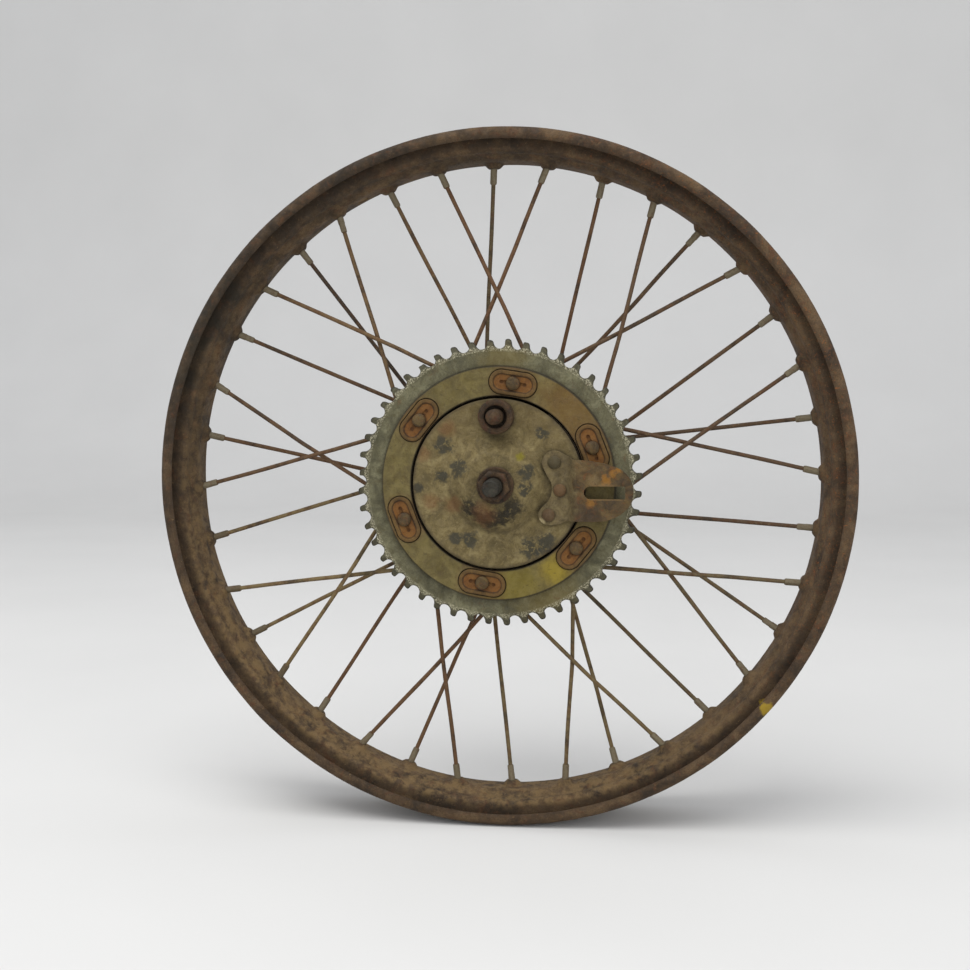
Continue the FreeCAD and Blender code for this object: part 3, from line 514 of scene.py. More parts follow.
def sprocket_material():
    s = Shader("sprocket_steel")
    r = s.radius()
    colour = s.ramp(s.noise(13, 8, 0.68, 0.6), [(0.34, rgb(70, 69, 54)), (0.5, rgb(96, 94, 76)),
                                                (0.64, rgb(120, 119, 100))])
    smear = s.step(s.noise(6.0, 8, 0.74, 1.2), 0.5, 0.62)
    colour = s.mix(s.math("MULTIPLY", smear, 0.55), colour, rgb(84, 78, 54))
    mottle = s.step(s.noise(1.6, 6, 0.78), 0.5, 0.62)
    colour = s.mix(s.math("MULTIPLY", mottle, 0.45), colour, rgb(66, 64, 52))
    ochre = s.math("MAXIMUM", s.near(4.0, 86.0, 26.0, 0.8, 0.8, 6.0), s.near(34.0, -78.0, 34.0, 0.8, 0.8, 6.0))
    colour = s.mix(s.math("MULTIPLY", ochre, 0.5), colour, rgb(112, 98, 50))
    rust = s.step(s.noise(9.0, 7, 0.74, 0.6), 0.58, 0.67)
    colour = s.mix(s.math("MULTIPLY", rust, 0.5), colour, rgb(98, 74, 48))
    edge = s.attribute("worn_edge")
    tooth = s.step(edge, 0.05, 0.6)
    colour = s.mix(s.math("MULTIPLY", tooth, 0.6), colour, rgb(60, 58, 47))
    oily = s.math("MULTIPLY", tooth, s.step(s.noise(2.2, 6, 0.75), 0.48, 0.6))
    colour = s.mix(s.math("MULTIPLY", oily, 0.6), colour, rgb(44, 42, 34))
    colour = s.mix(s.math("MULTIPLY", s.step(edge, 0.82, 1.0), 0.8), colour, rgb(40, 38, 32))
    band = s.math("MULTIPLY", s.step(edge, 0.0, 0.14), s.step(edge, 0.5, 0.26))
    low_ring = s.math("MULTIPLY", s.step(r, 90.2, 91.6), s.step(r, 94.6, 93.2))
    chips_at = s.math("MAXIMUM", band, s.math("MULTIPLY", low_ring, 0.6))
    chips = s.math("MULTIPLY", chips_at, s.step(s.noise(1.0, 5, 0.8, 0.6), 0.49, 0.57))
    colour = s.mix(s.math("MULTIPLY", chips, 0.9), colour, rgb(214, 211, 197))
    # painted shadow: a dark line on the sprocket just outside the clamp ring, where the ring sits on it
    ring_contact_shadow = s.step(r, RING_OUTER + 1.6, RING_OUTER + 0.2)
    colour = s.mix(s.math("MULTIPLY", ring_contact_shadow, 0.75), colour, rgb(44, 39, 28))
    # painted shade: darker in corners and gaps, where shade falls
    colour = s.mix(s.math("MULTIPLY", s.occlusion_shade(8.0, 0.3, 0.85), 0.5), colour, rgb(38, 34, 25))
    scratch = s.step(s.noise(0.9, 4, 0.8, 2.5), 0.6, 0.66)
    colour = s.mix(s.math("MULTIPLY", scratch, 0.45), colour, rgb(152, 152, 136))
    rough_value = s.step(s.noise(4.0, 5, 0.7), 0.3, 0.7, 0.5, 0.85)
    swell = s.bump(s.noise(4.0, 6, 0.66), 0.22, 0.7)
    gritty = s.bump(s.math("MULTIPLY", chips_at, s.noise(0.8, 5, 0.8)), 0.9, 1.0, swell)
    colour = s.tinted(colour, 0.85, 0.81, 0.65)
    return s.finish(colour, rough_value, 0.15, s.bump(s.noise(0.5, 6, 0.8), 0.1, 0.8, gritty), 0.4)


def ring_material():
    s = Shader("ring_paint")
    r = s.radius()
    colour = s.ramp(s.noise(16, 8, 0.68, 0.7), [(0.36, rgb(88, 76, 44)), (0.5, rgb(106, 93, 56)),
                                                (0.64, rgb(122, 108, 68))])
    stain = s.step(s.noise(7.0, 8, 0.74, 0.9), 0.5, 0.63)
    colour = s.mix(s.math("MULTIPLY", stain, 0.5), colour, rgb(84, 68, 40))
    warm = s.near(50.0, 52.0, 36.0, 0.8, 0.6, 9.0)
    colour = s.mix(s.math("MULTIPLY", warm, 0.55), colour, rgb(112, 78, 34))
    green = s.near(10.0, -72.0, 30.0, 0.8, 0.7, 7.0)
    colour = s.mix(s.math("MULTIPLY", green, 0.55), colour, rgb(128, 112, 34))
    bright = s.near(40.0, -59.0, 15.0, 0.8, 1.0, 5.0)
    colour = s.mix(s.math("MULTIPLY", bright, 0.6), colour, rgb(166, 142, 24))
    grime = s.step(s.noise(2.6, 7, 0.76, 0.8), 0.55, 0.67)
    colour = s.mix(s.math("MULTIPLY", grime, 0.5), colour, rgb(60, 51, 32))
    fine = s.step(s.noise(0.9, 5, 0.78), 0.55, 0.66)
    colour = s.mix(s.math("MULTIPLY", fine, 0.4), colour, rgb(136, 118, 76))
    # painted shade along the ring's outer and inner edges, beside the sprocket and the gap round the brake plate
    ring_edge_shade = s.math("MAXIMUM", s.step(r, RING_OUTER - 1.0, RING_OUTER - 0.2), s.step(r, 61.4, 60.6))
    colour = s.mix(s.math("MULTIPLY", ring_edge_shade, 0.7), colour, rgb(42, 36, 24))
    for k in range(6):
        a = math.radians(BOLT_PHASE + 60 * k)
        halo = s.near(BOLT_CIRCLE * math.cos(a), BOLT_CIRCLE * math.sin(a), 21.0, 0.45, 0.6, 4.0)
        colour = s.mix(s.math("MULTIPLY", halo, 0.5), colour, rgb(96, 66, 36))
    # painted shade: darker in corners and gaps, where shade falls
    colour = s.mix(s.math("MULTIPLY", s.occlusion_shade(8.0, 0.35, 0.9), 0.75), colour, rgb(36, 29, 18))
    rough_value = s.step(s.noise(5.0, 5, 0.7), 0.3, 0.7, 0.6, 0.9)
    swell = s.bump(s.noise(5.0, 6, 0.66), 0.25, 0.7)
    colour = s.tinted(colour, 0.74, 0.75, 0.63)
    return s.finish(colour, rough_value, 0.0, s.bump(s.noise(0.7, 6, 0.78), 0.12, 0.8, swell), 0.35)


def lock_material():
    s = Shader("lock_rust")
    colour = rust_layers(s, rgb(64, 45, 28), rgb(104, 75, 42), rgb(126, 96, 56), rgb(120, 78, 36), 4.5)
    for k in range(6):
        a = math.radians(BOLT_PHASE + 60 * k)
        for side in (-8.0, 8.0):
            x = BOLT_CIRCLE * math.cos(a) - side * math.sin(a)
            z = BOLT_CIRCLE * math.sin(a) + side * math.cos(a)
            # painted shade: a dark disc in each small dimple stands for the shaded inside of a hole
            hole = s.near(x, z, 1.8, 0.5)
            colour = s.mix(s.math("MULTIPLY", hole, 0.85), colour, rgb(30, 22, 15))
    dark = s.step(s.noise(2.2, 7, 0.74, 0.6), 0.54, 0.66)
    colour = s.mix(s.math("MULTIPLY", dark, 0.6), colour, rgb(50, 36, 24))
    border = s.attribute("border")
    colour = s.mix(s.math("MULTIPLY", s.step(border, 0.3, 0.05), 0.45), colour, rgb(126, 78, 34))
    colour = s.mix(s.math("MULTIPLY", s.step(border, 0.7, 1.0), 0.6), colour, rgb(94, 74, 45))
    # painted shade on the slope that steps down from the raised border into the pan
    groove_shade = s.math("MULTIPLY", s.step(border, 0.03, 0.3), s.step(border, 0.9, 0.6))
    colour = s.mix(s.math("MULTIPLY", groove_shade, 0.65), colour, rgb(46, 32, 20))
    # painted shade: darker in corners and gaps, where shade falls
    colour = s.mix(s.math("MULTIPLY", s.occlusion_shade(2.2, 0.45, 0.95), 0.75), colour, rgb(40, 27, 17))
    rough_value = s.step(s.noise(2.0, 5, 0.7), 0.3, 0.7, 0.7, 0.95)
    colour = s.tinted(colour, 0.85, 0.85, 0.7)
    return s.finish(colour, rough_value, 0.0, scale_bump(s, 0.4, 2.4, 0.16), 0.3)


def bolt_material():
    s = Shader("bolt_rust")
    colour = rust_layers(s, rgb(54, 42, 29), rgb(84, 66, 42), rgb(104, 84, 52), rgb(104, 64, 32), 3.5)
    # painted shade: darker in corners and gaps, where shade falls
    colour = s.mix(s.math("MULTIPLY", s.occlusion_shade(1.6, 0.45, 0.95), 0.7), colour, rgb(34, 25, 17))
    rough_value = s.step(s.noise(2.0, 5, 0.7), 0.3, 0.7, 0.65, 0.92)
    colour = s.tinted(colour, 0.79, 0.79, 0.65)
    return s.finish(colour, rough_value, 0.0, scale_bump(s, 0.35, 2.0, 0.15), 0.35)


def plate_material():
    s = Shader("plate_paint")
    r = s.radius()
    colour = s.ramp(s.noise(12, 8, 0.7, 0.8), [(0.34, rgb(84, 74, 50)), (0.5, rgb(108, 96, 68)),
                                               (0.66, rgb(132, 120, 90))])
    smudge = s.step(s.noise(4.0, 8, 0.76, 1.0), 0.49, 0.62)
    colour = s.mix(s.math("MULTIPLY", smudge, 0.5), colour, rgb(78, 66, 44))
    pale = s.step(s.noise(2.4, 7, 0.76, 0.4), 0.55, 0.67)
    colour = s.mix(s.math("MULTIPLY", pale, 0.45), colour, rgb(142, 130, 102))
    # painted shade: the upper side of the plate, from radius 30 to 50 mm, is made darker
    top = s.math("MULTIPLY", s.step(s.toward(90), 0.0, 0.9), s.step(r, 30.0, 50.0))
    colour = s.mix(s.math("MULTIPLY", top, 0.4), colour, rgb(92, 78, 50))
    torn = s.step(s.noise(4.2, 7, 0.7, 0.9), 0.38, 0.47)
    for x, z, size in ((-36.7, 26.8, 8.0), (-26.2, 11.3, 8.0), (21.1, 8.8, 6.5), (20.0, -3.0, 6.0),
                       (-28.7, -37.5, 6.0), (-19.0, -38.1, 6.5), (22.5, -44.6, 8.5), (32.8, -41.0, 9.0),
                       (31.1, 34.3, 5.5), (-38.2, 4.7, 6.0), (-55.0, -3.0, 5.0)):
        patch = s.math("MULTIPLY", s.near(x, z, size, 0.5, 1.8, 5.0), torn)
        colour = s.mix(s.math("MULTIPLY", patch, 0.88), colour, rgb(50, 49, 43))
    soaked = s.step(s.noise(3.2, 7, 0.72, 0.7), 0.37, 0.47)
    for x, z, size in ((-18.1, -15.4, 8.5), (-11.0, -21.0, 8.0), (-4.0, -24.4, 9.0), (5.0, -21.5, 8.5),
                       (12.0, -15.2, 9.0)):
        oily = s.math("MULTIPLY", s.near(x, z, size, 0.6, 1.4, 3.5), soaked)
        colour = s.mix(s.math("MULTIPLY", oily, 0.88), colour, rgb(31, 27, 20))
    # painted shade: a soft dark arc round the foot of the dome, on its lower side
    foot = s.math("MULTIPLY", s.step(r, 29.0, 32.0), s.step(r, 36.0, 33.0))
    below = s.math("MULTIPLY", foot, s.step(s.toward(250), -0.2, 0.8))
    colour = s.mix(s.math("MULTIPLY", below, 0.45), colour, rgb(62, 53, 37))
    green = s.near(16.5, 19.2, 4.0, 0.7, 1.4, 2.5)
    colour = s.mix(s.math("MULTIPLY", green, 0.75), colour, rgb(120, 112, 26))
    for x, z, size in ((-52.0, 21.0, 8.0), (-30.0, -14.0, 9.0), (-8.0, -20.0, 12.0), (-46.0, -12.0, 8.0),
                       (-34.0, 38.0, 8.0)):
        rusty = s.near(x, z, size, 0.7, 1.2, 5.0)
        colour = s.mix(s.math("MULTIPLY", rusty, 0.5), colour, rgb(104, 68, 38))
    specks = s.step(s.noise(1.3, 6, 0.76), 0.58, 0.67)
    colour = s.mix(s.math("MULTIPLY", specks, 0.55), colour, rgb(58, 48, 34))
    # painted shade along the plate's rolled outer edge, beside the gap to the ring
    edge = s.step(r, 55.5, 58.4)
    colour = s.mix(s.math("MULTIPLY", edge, 0.6), colour, rgb(56, 47, 32))
    # painted shade: darker in corners and gaps, where shade falls
    colour = s.mix(s.math("MULTIPLY", s.occlusion_shade(7.0, 0.3, 0.85), 0.75), colour, rgb(34, 28, 19))
    rough_value = s.step(s.noise(5.0, 5, 0.7), 0.3, 0.7, 0.62, 0.92)
    swell = s.bump(s.noise(6.0, 6, 0.66), 0.4, 0.8)
    flakes = s.bump(s.step(s.noise(3.0, 6, 0.72, 1.0), 0.48, 0.54), 0.12, 0.7, swell)
    colour = s.tinted(colour, 0.98, 0.94, 0.74)
    return s.finish(colour, rough_value, 0.0, s.bump(s.noise(0.8, 6, 0.8), 0.16, 0.85, flakes), 0.35)


def axle_material():
    s = Shader("axle_rust")
    colour = rust_layers(s, rgb(42, 32, 24), rgb(66, 48, 35), rgb(88, 66, 48), rgb(84, 48, 32), 4.5)
    worn = s.step(s.noise(2.4, 7, 0.74, 0.4), 0.56, 0.69)
    colour = s.mix(s.math("MULTIPLY", worn, 0.5), colour, rgb(108, 88, 64))
    # painted shade: darker in corners and gaps, where shade falls
    colour = s.mix(s.math("MULTIPLY", s.occlusion_shade(3.0, 0.4, 0.95), 0.75), colour, rgb(24, 18, 13))
    rough_value = s.step(s.noise(2.0, 5, 0.7), 0.3, 0.7, 0.6, 0.92)
    colour = s.tinted(colour, 0.79, 0.79, 0.55)
    return s.finish(colour, rough_value, 0.05, scale_bump(s, 0.4, 2.4, 0.15), 0.35)


def dark_end_material():
    """Bare machined ends of the axle, blackened with grease."""
    s = Shader("dark_steel")
    colour = rust_layers(s, rgb(30, 29, 24), rgb(50, 49, 42), rgb(70, 69, 60), rgb(62, 44, 34), 3.5)
    # painted shade: darker in corners and gaps, where shade falls
    colour = s.mix(s.math("MULTIPLY", s.occlusion_shade(1.5, 0.4, 0.95), 0.7), colour, rgb(20, 17, 13))
    rough_value = s.step(s.noise(1.6, 5, 0.7), 0.3, 0.7, 0.45, 0.8)
    colour = s.tinted(colour, 0.66, 0.6, 0.49)
    return s.finish(colour, rough_value, 0.0, scale_bump(s, 0.35, 1.8, 0.12), 0.3)


def arm_material():
    s = Shader("arm_rust")
    rusty = rust_layers(s, rgb(56, 45, 28), rgb(86, 69, 43), rgb(108, 89, 56), rgb(108, 68, 34), 5.0)
    dusty = s.ramp(s.noise(8, 8, 0.72, 0.8), [(0.36, rgb(80, 70, 48)), (0.5, rgb(102, 90, 64)),
                                              (0.64, rgb(122, 110, 80))])
    across = s.math("DIVIDE", s.x, MM)
    wave = s.math("MULTIPLY", s.math("SUBTRACT", s.noise(7.0, 5, 0.7), 0.5), 24.0)
    colour = s.mix(s.step(s.math("ADD", across, wave), 50.0, 57.0), dusty, rusty)
    for x, z, size in ((74.5, 3.4, 4.5), (79.0, 7.5, 3.5), (83.0, 11.0, 3.2), (64.0, -12.5, 4.0)):
        orange = s.near(x, z, size, 0.7, 1.8, 2.5)
        colour = s.mix(s.math("MULTIPLY", orange, 0.7), colour, rgb(150, 104, 36))
    pale = s.near(66.0, 3.5, 6.0, 0.7, 1.2, 3.0)
    colour = s.mix(s.math("MULTIPLY", pale, 0.45), colour, rgb(128, 110, 78))
    dark_low = s.near(62.0, -22.0, 13.0, 0.7, 1.2, 5.0)
    colour = s.mix(s.math("MULTIPLY", dark_low, 0.5), colour, rgb(56, 42, 30))
    lobe = s.near(30.5, -25.5, 3.6, 0.5, 0.7, 2.0)
    colour = s.mix(s.math("MULTIPLY", lobe, 0.7), colour, rgb(170, 158, 126))
    for (x, z), tint in zip(ARM_RIVETS, (rgb(66, 60, 42), rgb(98, 70, 46), rgb(84, 62, 43))):
        head = s.near(x, z, 5.0, 0.25, 0.25, 2.0)
        colour = s.mix(s.math("MULTIPLY", head, 0.75), colour, tint)
    slot_edge = s.math("MULTIPLY", s.near(74.0, -9.8, 13.0, 0.3), s.step(s.math("DIVIDE", s.z, MM), -10.4, -9.6))
    colour = s.mix(s.math("MULTIPLY", slot_edge, 0.5), colour, rgb(142, 116, 80))
    specks = s.step(s.noise(1.3, 6, 0.76), 0.57, 0.67)
    colour = s.mix(s.math("MULTIPLY", specks, 0.5), colour, rgb(48, 38, 28))
    # painted shade: darker in corners and gaps, where shade falls
    colour = s.mix(s.math("MULTIPLY", s.occlusion_shade(3.0, 0.4, 0.92), 0.7), colour, rgb(34, 26, 18))
    rough_value = s.step(s.noise(3.0, 5, 0.7), 0.3, 0.7, 0.62, 0.92)
    colour = s.tinted(colour, 0.8, 0.76, 0.64)
    return s.finish(colour, rough_value, 0.0, scale_bump(s, 0.5, 3.4, 0.18), 0.35)


def bearing_material():
    s = Shader("bearing_steel")
    colour = s.ramp(s.noise(3.0, 5, 0.6), [(0.35, rgb(150, 148, 142)), (0.65, rgb(198, 197, 192))])
    grease = s.step(s.noise(4.0, 6, 0.65, 0.6), 0.53, 0.66)
    colour = s.mix(s.math("MULTIPLY", grease, 0.6), colour, rgb(66, 52, 30))
    rough_value = s.step(s.noise(2.0, 5, 0.7), 0.3, 0.7, 0.2, 0.5)
    return s.finish(colour, rough_value, 0.9, s.bump(s.noise(0.4, 4, 0.7), 0.02, 0.4), 0.5)


def shoe_material():
    s = Shader("shoe_alloy")
    colour = s.ramp(s.noise(6.0, 6, 0.6), [(0.35, rgb(118, 116, 110)), (0.65, rgb(158, 156, 148))])
    dust = s.step(s.noise(9.0, 6, 0.66, 0.6), 0.48, 0.66)
    colour = s.mix(s.math("MULTIPLY", dust, 0.6), colour, rgb(80, 66, 52))
    rough_value = s.step(s.noise(3.0, 5, 0.7), 0.3, 0.7, 0.45, 0.8)
    return s.finish(colour, rough_value, 0.5, s.bump(s.noise(0.9, 5, 0.75), 0.12, 0.6), 0.4)


def lining_material():
    s = Shader("lining")
    colour = s.ramp(s.noise(1.2, 5, 0.8), [(0.36, rgb(62, 54, 46)), (0.55, rgb(92, 80, 66)), (0.7, rgb(128, 112, 90))])
    glaze = s.step(s.noise(10.0, 5, 0.6), 0.5, 0.7)
    colour = s.mix(s.math("MULTIPLY", glaze, 0.5), colour, rgb(52, 44, 38))
    return s.finish(colour, 0.8, 0.0, s.bump(s.noise(0.6, 5, 0.8), 0.1, 0.7), 0.3)


def rivet_material():
    s = Shader("rivet_brass")
    colour = s.ramp(s.noise(2.0, 5, 0.7), [(0.35, rgb(120, 92, 48)), (0.65, rgb(176, 142, 78))])
    return s.finish(colour, 0.5, 0.7, s.bump(s.noise(0.5, 5, 0.7), 0.05, 0.6), 0.4)


# ---------------------------------------------------------------- rim


def rim_half_profile():
    """Hub-side middle of the well, out round the curl and back along the tyre side."""
    hub = BEAD_RADIUS - SHEET
    face = RIM_HALF_WIDTH - 2 * CURL_RADIUS + SHEET + 0.0
    bead = face - SHEET
    curl = (RIM_RADIUS - CURL_RADIUS, bead + CURL_RADIUS)
    outside = line((WELL_RADIUS, 0.0), (WELL_RADIUS, 6.5), 7)
    outside += [(WELL_RADIUS + 0.12, 8.0), (WELL_RADIUS + 0.4, 9.6), (WELL_RADIUS + 1.1, 11.4)]
    outside += [(WELL_RADIUS + 1.85, 12.6), (WELL_RADIUS + 2.6, 13.8), (WELL_RADIUS + 3.4, 15.0)]
    outside += [(hub - 0.15, 16.3), (hub, 17.6), (hub, 18.3)]
    outside += arc((hub + 4.0, face - 4.0), 4.0, 170, 95, 6)
    outside += line((hub + 4.0, face), (curl[0], curl[1] - CURL_RADIUS + SHEET), 4)
    inner = CURL_RADIUS - SHEET
    inside_curl = arc(curl, inner, -90, 125, 14)
    lip = [(curl[0] + (inner + 0.9) * math.cos(math.radians(131)), curl[1] + (inner + 0.9) * math.sin(math.radians(131)))]
    outside_curl = arc(curl, CURL_RADIUS, 125, -90, 22)
    back = line((curl[0], bead), (hub + 4.4, bead), 3)
    back += arc((BEAD_RADIUS + 2.2, bead - 2.2), 2.2, 95, 175, 4)
    back += [(BEAD_RADIUS, 17.0), (BEAD_RADIUS - 0.3, 15.0), (BEAD_RADIUS - 1.3, 12.9)]
    back += [(BEAD_RADIUS - 2.2, 11.6), (BEAD_RADIUS - 3.1, 10.3), (WELL_RADIUS + 2.05, 8.4)]
    back += line((WELL_RADIUS + SHEET, 6.2), (WELL_RADIUS + SHEET, 0.0), 6)
    return [(WELL_RADIUS, 0.0)] + outside + inside_curl + lip + outside_curl + back


def dimple_depth(angle, r, d, holes):
    """How far the well is pressed towards the hub at this place, for the nearest nipple seat."""
    deepest = 0.0
    for hole_angle, hole_d in holes:
        turn = (angle - hole_angle + 180.0) % 360.0 - 180.0
        if abs(turn) > 2.6:
            continue
        across = math.radians(turn) * r
        away = math.hypot(across, d - hole_d)
        t = min(1.0, max(0.0, (7.4 - away) / 3.4))
        deepest = max(deepest, 3.1 * (0.65 * t + 0.35 * t * t * (3 - 2 * t)))
    return deepest


def make_rim():
    steps = 1440
    half = rim_half_profile()
    profile = half + [(r, -d) for r, d in reversed(half[1:-1])]
    hub_side = len(line((0, 0), (0, 0), 1))
    holes = []
    for rim_angle, _turn, _flange, _circle, _elbow, rim_side, _off in FAMILIES.values():
        for k in range(SPOKES_PER_FAMILY):
            holes.append(((rim_angle + FAMILY_STEP * k) % 360.0, rim_side * 3.5))
    seam = (VALVE_ANGLE + 180.0) % 360.0
    verts = []
    for r, d in profile:
        well = abs(d) < 12.5 and r < WELL_RADIUS + 3.5
        for k in range(steps):
            angle = 360.0 * k / steps
            radius = r
            if well:
                radius -= dimple_depth(angle, r, d, holes)
                turn = abs((angle - seam + 180.0) % 360.0 - 180.0)
                if r > WELL_RADIUS + 1.0 and abs(d) < 6.5:
                    radius += 1.7 * smoothstep(0.7, 0.3, turn)
            p = around(radius, angle, d)
            p = rough(p, 32.0, 0.25, 1.0)
            verts.append(rough(p, 3.0, 0.06, 2.0))
    faces = grid_faces(len(profile), steps, wrap_rows=True)
    rim = new_object("rim_hoop", verts, faces, 50.0)
    cutter = lathe("valve_cutter", [(0.0, -10.0), (4.25, -10.0), (4.25, 10.0), (0.0, 10.0)], 40)
    cutter.data.transform(Matrix.Rotation(math.radians(90), 4, "X"))
    cutter.data.transform(Matrix.Translation((0, 0, (WELL_RADIUS + 1.0) * MM)))
    cutter.data.transform(Matrix.Rotation(math.radians(90 - VALVE_ANGLE), 4, "Y"))
    cut = rim.modifiers.new("valve", "BOOLEAN")
    cut.operation = "DIFFERENCE"
    cut.solver = "EXACT"
    cut.object = cutter
    bpy.context.view_layer.update()
    result = bpy.data.meshes.new_from_object(rim.evaluated_get(bpy.context.evaluated_depsgraph_get()))
    rim.modifiers.clear()
    rim.data = result
    bpy.data.objects.remove(cutter)
    return rim


# ---------------------------------------------------------------- spokes and nipples

# Each family: rim angle, turn from rim to hub, flange, hole circle, elbow side of the flange,
# rim side, and how far the elbow stands off the flange.
BRAKE_FLANGE = (14.0, 17.5)
FAR_FLANGE = (-34.5, -31.0)
FAMILIES = {
    "brake_a": (101.5, -40.0, BRAKE_FLANGE, 67.0, 1, 1, 1.1),
    "far_a": (91.5, 40.0, FAR_FLANGE, 28.2, -1, -1, 1.7),
    "brake_b": (81.5, 40.0, BRAKE_FLANGE, 67.0, -1, 1, 0.15),
    "far_b": (71.5, -40.0, FAR_FLANGE, 28.2, 1, -1, 0.15),
}


def flat_polar(radius, degrees, d):
    a = math.radians(degrees)
    return Vector((radius * math.cos(a), d, radius * math.sin(a)))


def spoke_line(family, index):
    """Corner beside the flange, seat in the rim, direction between them and the head's place."""
    rim_angle, turn, flange, circle, elbow_side, rim_side, stand_off = FAMILIES[family]
    rim_angle += FAMILY_STEP * index
    middle_d = (flange[0] + flange[1]) / 2
    half = (flange[1] - flange[0]) / 2
    elbow_d = middle_d + elbow_side * (half + 1.5 + stand_off)
    corner = flat_polar(circle, rim_angle + turn, elbow_d)
    seat = flat_polar(WELL_RADIUS + 1.0, rim_angle, rim_side * 3.5)
    along = (seat - corner).normalized()
    inward = Vector((0.0, -elbow_side, 0.0))
    head = flat_polar(circle, rim_angle + turn, middle_d - elbow_side * (half + 0.05))
    return corner, seat, along, inward, head


def sweep(path, radii, sides=12):
    """Tube vertices and faces round a path given in (x, d, z), closed at both ends."""
    verts = []
    side = None
    for i, p in enumerate(path):
        before = path[max(i - 1, 0)]
        after = path[min(i + 1, len(path) - 1)]
        tangent = (after - before).normalized()
        if side is None:
            side = tangent.orthogonal().normalized()
        side = (side - tangent * side.dot(tangent)).normalized()
        other = tangent.cross(side)
        for k in range(sides):
            a = 2 * math.pi * k / sides
            q = p + (side * math.cos(a) + other * math.sin(a)) * radii[i]
            verts.append(point(q.x, q.y, q.z))
    faces = grid_faces(len(path), sides)
    faces.append(tuple(range(sides)))
    faces.append(tuple(range(len(verts) - sides, len(verts))))
    return verts, faces


def one_spoke(family, index, dice):
    corner, seat, along, inward, head = spoke_line(family, index)
    bend = 2.2
    inner = corner + along * bend
    outer = corner + inward * bend
    tip = seat - along * 1.0
    sideways = along.cross(Vector((0.0, 1.0, 0.0))).normalized()
    bow = dice.uniform(-0.9, 0.9)
    wave = dice.uniform(-0.35, 0.35)
    kink = dice.uniform(0.25, 0.75)
    path = []
    radii = []
    count = 26
    for k in range(count + 1):
        t = k / count
        p = tip.lerp(inner, t)
        lift = bow * math.sin(math.pi * t) ** 2 + wave * math.sin(3 * math.pi * t) * math.sin(math.pi * t)
        lift += 0.35 * bow * math.exp(-((t - kink) / 0.06) ** 2) * math.sin(math.pi * t)
        path.append(p + sideways * lift)
        radii.append(1.5 + dice.uniform(-0.05, 0.05))
    for k in range(1, 6):
        t = k / 6
        a = inner.lerp(corner, t)
        b = corner.lerp(outer, t)
        path.append(a.lerp(b, t))
        radii.append(1.5)
    path.append(outer)
    radii.append(1.5)
    path.append(head - inward * 0.1)
    radii.append(1.5)
    for reach, radius in ((0.0, 2.7), (0.25, 3.0), (0.9, 2.95), (1.25, 2.4), (1.4, 1.2)):
        path.append(head + inward * reach)
        radii.append(radius)
    return sweep(path, radii)


def one_nipple(family, index, dice):
    _corner, seat, along, _inward, _head = spoke_line(family, index)
    stations_along = [(-15.0, 1.62), (-14.9, 2.0), (-14.4, 2.3), (-13.6, 2.4), (-9.2, 2.4), (-8.6, 2.36),
                      (-2.8, 2.4), (-2.35, 2.45), (-1.1, 3.55), (0.05, 4.55), (0.5, 4.5), (1.3, 3.7), (1.5, 3.2)]
    sides = 20
    side = along.orthogonal().normalized()
    other = along.cross(side)
    twist = dice.uniform(0, math.pi / 2)
    verts = []
    for reach, radius in stations_along:
        for k in range(sides):
            a = 2 * math.pi * k / sides
            scale = 1.0
            if -13.5 < reach < -8.9 or -14.5 < reach < -13.5:
                corner_turn = (a + twist + math.pi / 4) % (math.pi / 2) - math.pi / 4
                scale = min(1.0, 0.86 / math.cos(corner_turn))
            q = seat + along * reach + (side * math.cos(a) + other * math.sin(a)) * radius * scale
            verts.append(rough(point(q.x, q.y, q.z), 1.4, 0.06, index))
    faces = grid_faces(len(stations_along), sides)
    faces.append(tuple(range(sides)))
    faces.append(tuple(range(len(verts) - sides, len(verts))))
    return verts, faces


def repeated(name, maker, family, seed):
    dice = random.Random(seed)
    verts = []
    faces = []
    for index in range(SPOKES_PER_FAMILY):
        some_verts, some_faces = maker(family, index, dice)
        offset = len(verts)
        verts += some_verts
        faces += [tuple(v + offset for v in face) for face in some_faces]
    return new_object(name, verts, faces, 40.0)


# ---------------------------------------------------------------- sprocket, clamp ring and its fixings


def sprocket_outline():
    """Outline (angle in degrees, radius) of 48 worn teeth that lean a little counter-clockwise."""
    teeth = 48
    pitch = 12.7
    pitch_radius = 97.09
    seat = 4.36
    dice = random.Random(31)
    crown = [(-0.155, 97.2), (-0.14, 98.1), (-0.115, 98.8), (-0.075, 99.3), (-0.02, 99.5), (0.05, 99.5),
             (0.105, 99.3), (0.145, 98.9), (0.17, 98.3), (0.172, 97.3)]
    swings = [0, 12, 24, 36, 47, 58, 68, 77, 85]
    outline = []
    for k in range(teeth):
        lean = dice.uniform(0.0, 0.035)
        short = dice.uniform(0.0, 0.9) + (1.3 if dice.random() < 0.07 else 0.0)
        rising = [(-0.5 + seat * math.sin(math.radians(a)) / pitch,
                   pitch_radius - seat * math.cos(math.radians(a))) for a in swings]
        falling = [(-t, r) for t, r in reversed(rising[1:])]
        for t, r in rising + crown + falling:
            rise = min(1.0, max(0.0, (r - 93.5) / 6.0))
            radius = r - short * rise ** 3 + dice.uniform(-0.09, 0.09)
            turn = t + (lean + 0.02) * rise ** 2 + dice.uniform(-0.004, 0.004)
            outline.append((3.0 + (k + turn) * 360.0 / teeth, radius))
    return outline


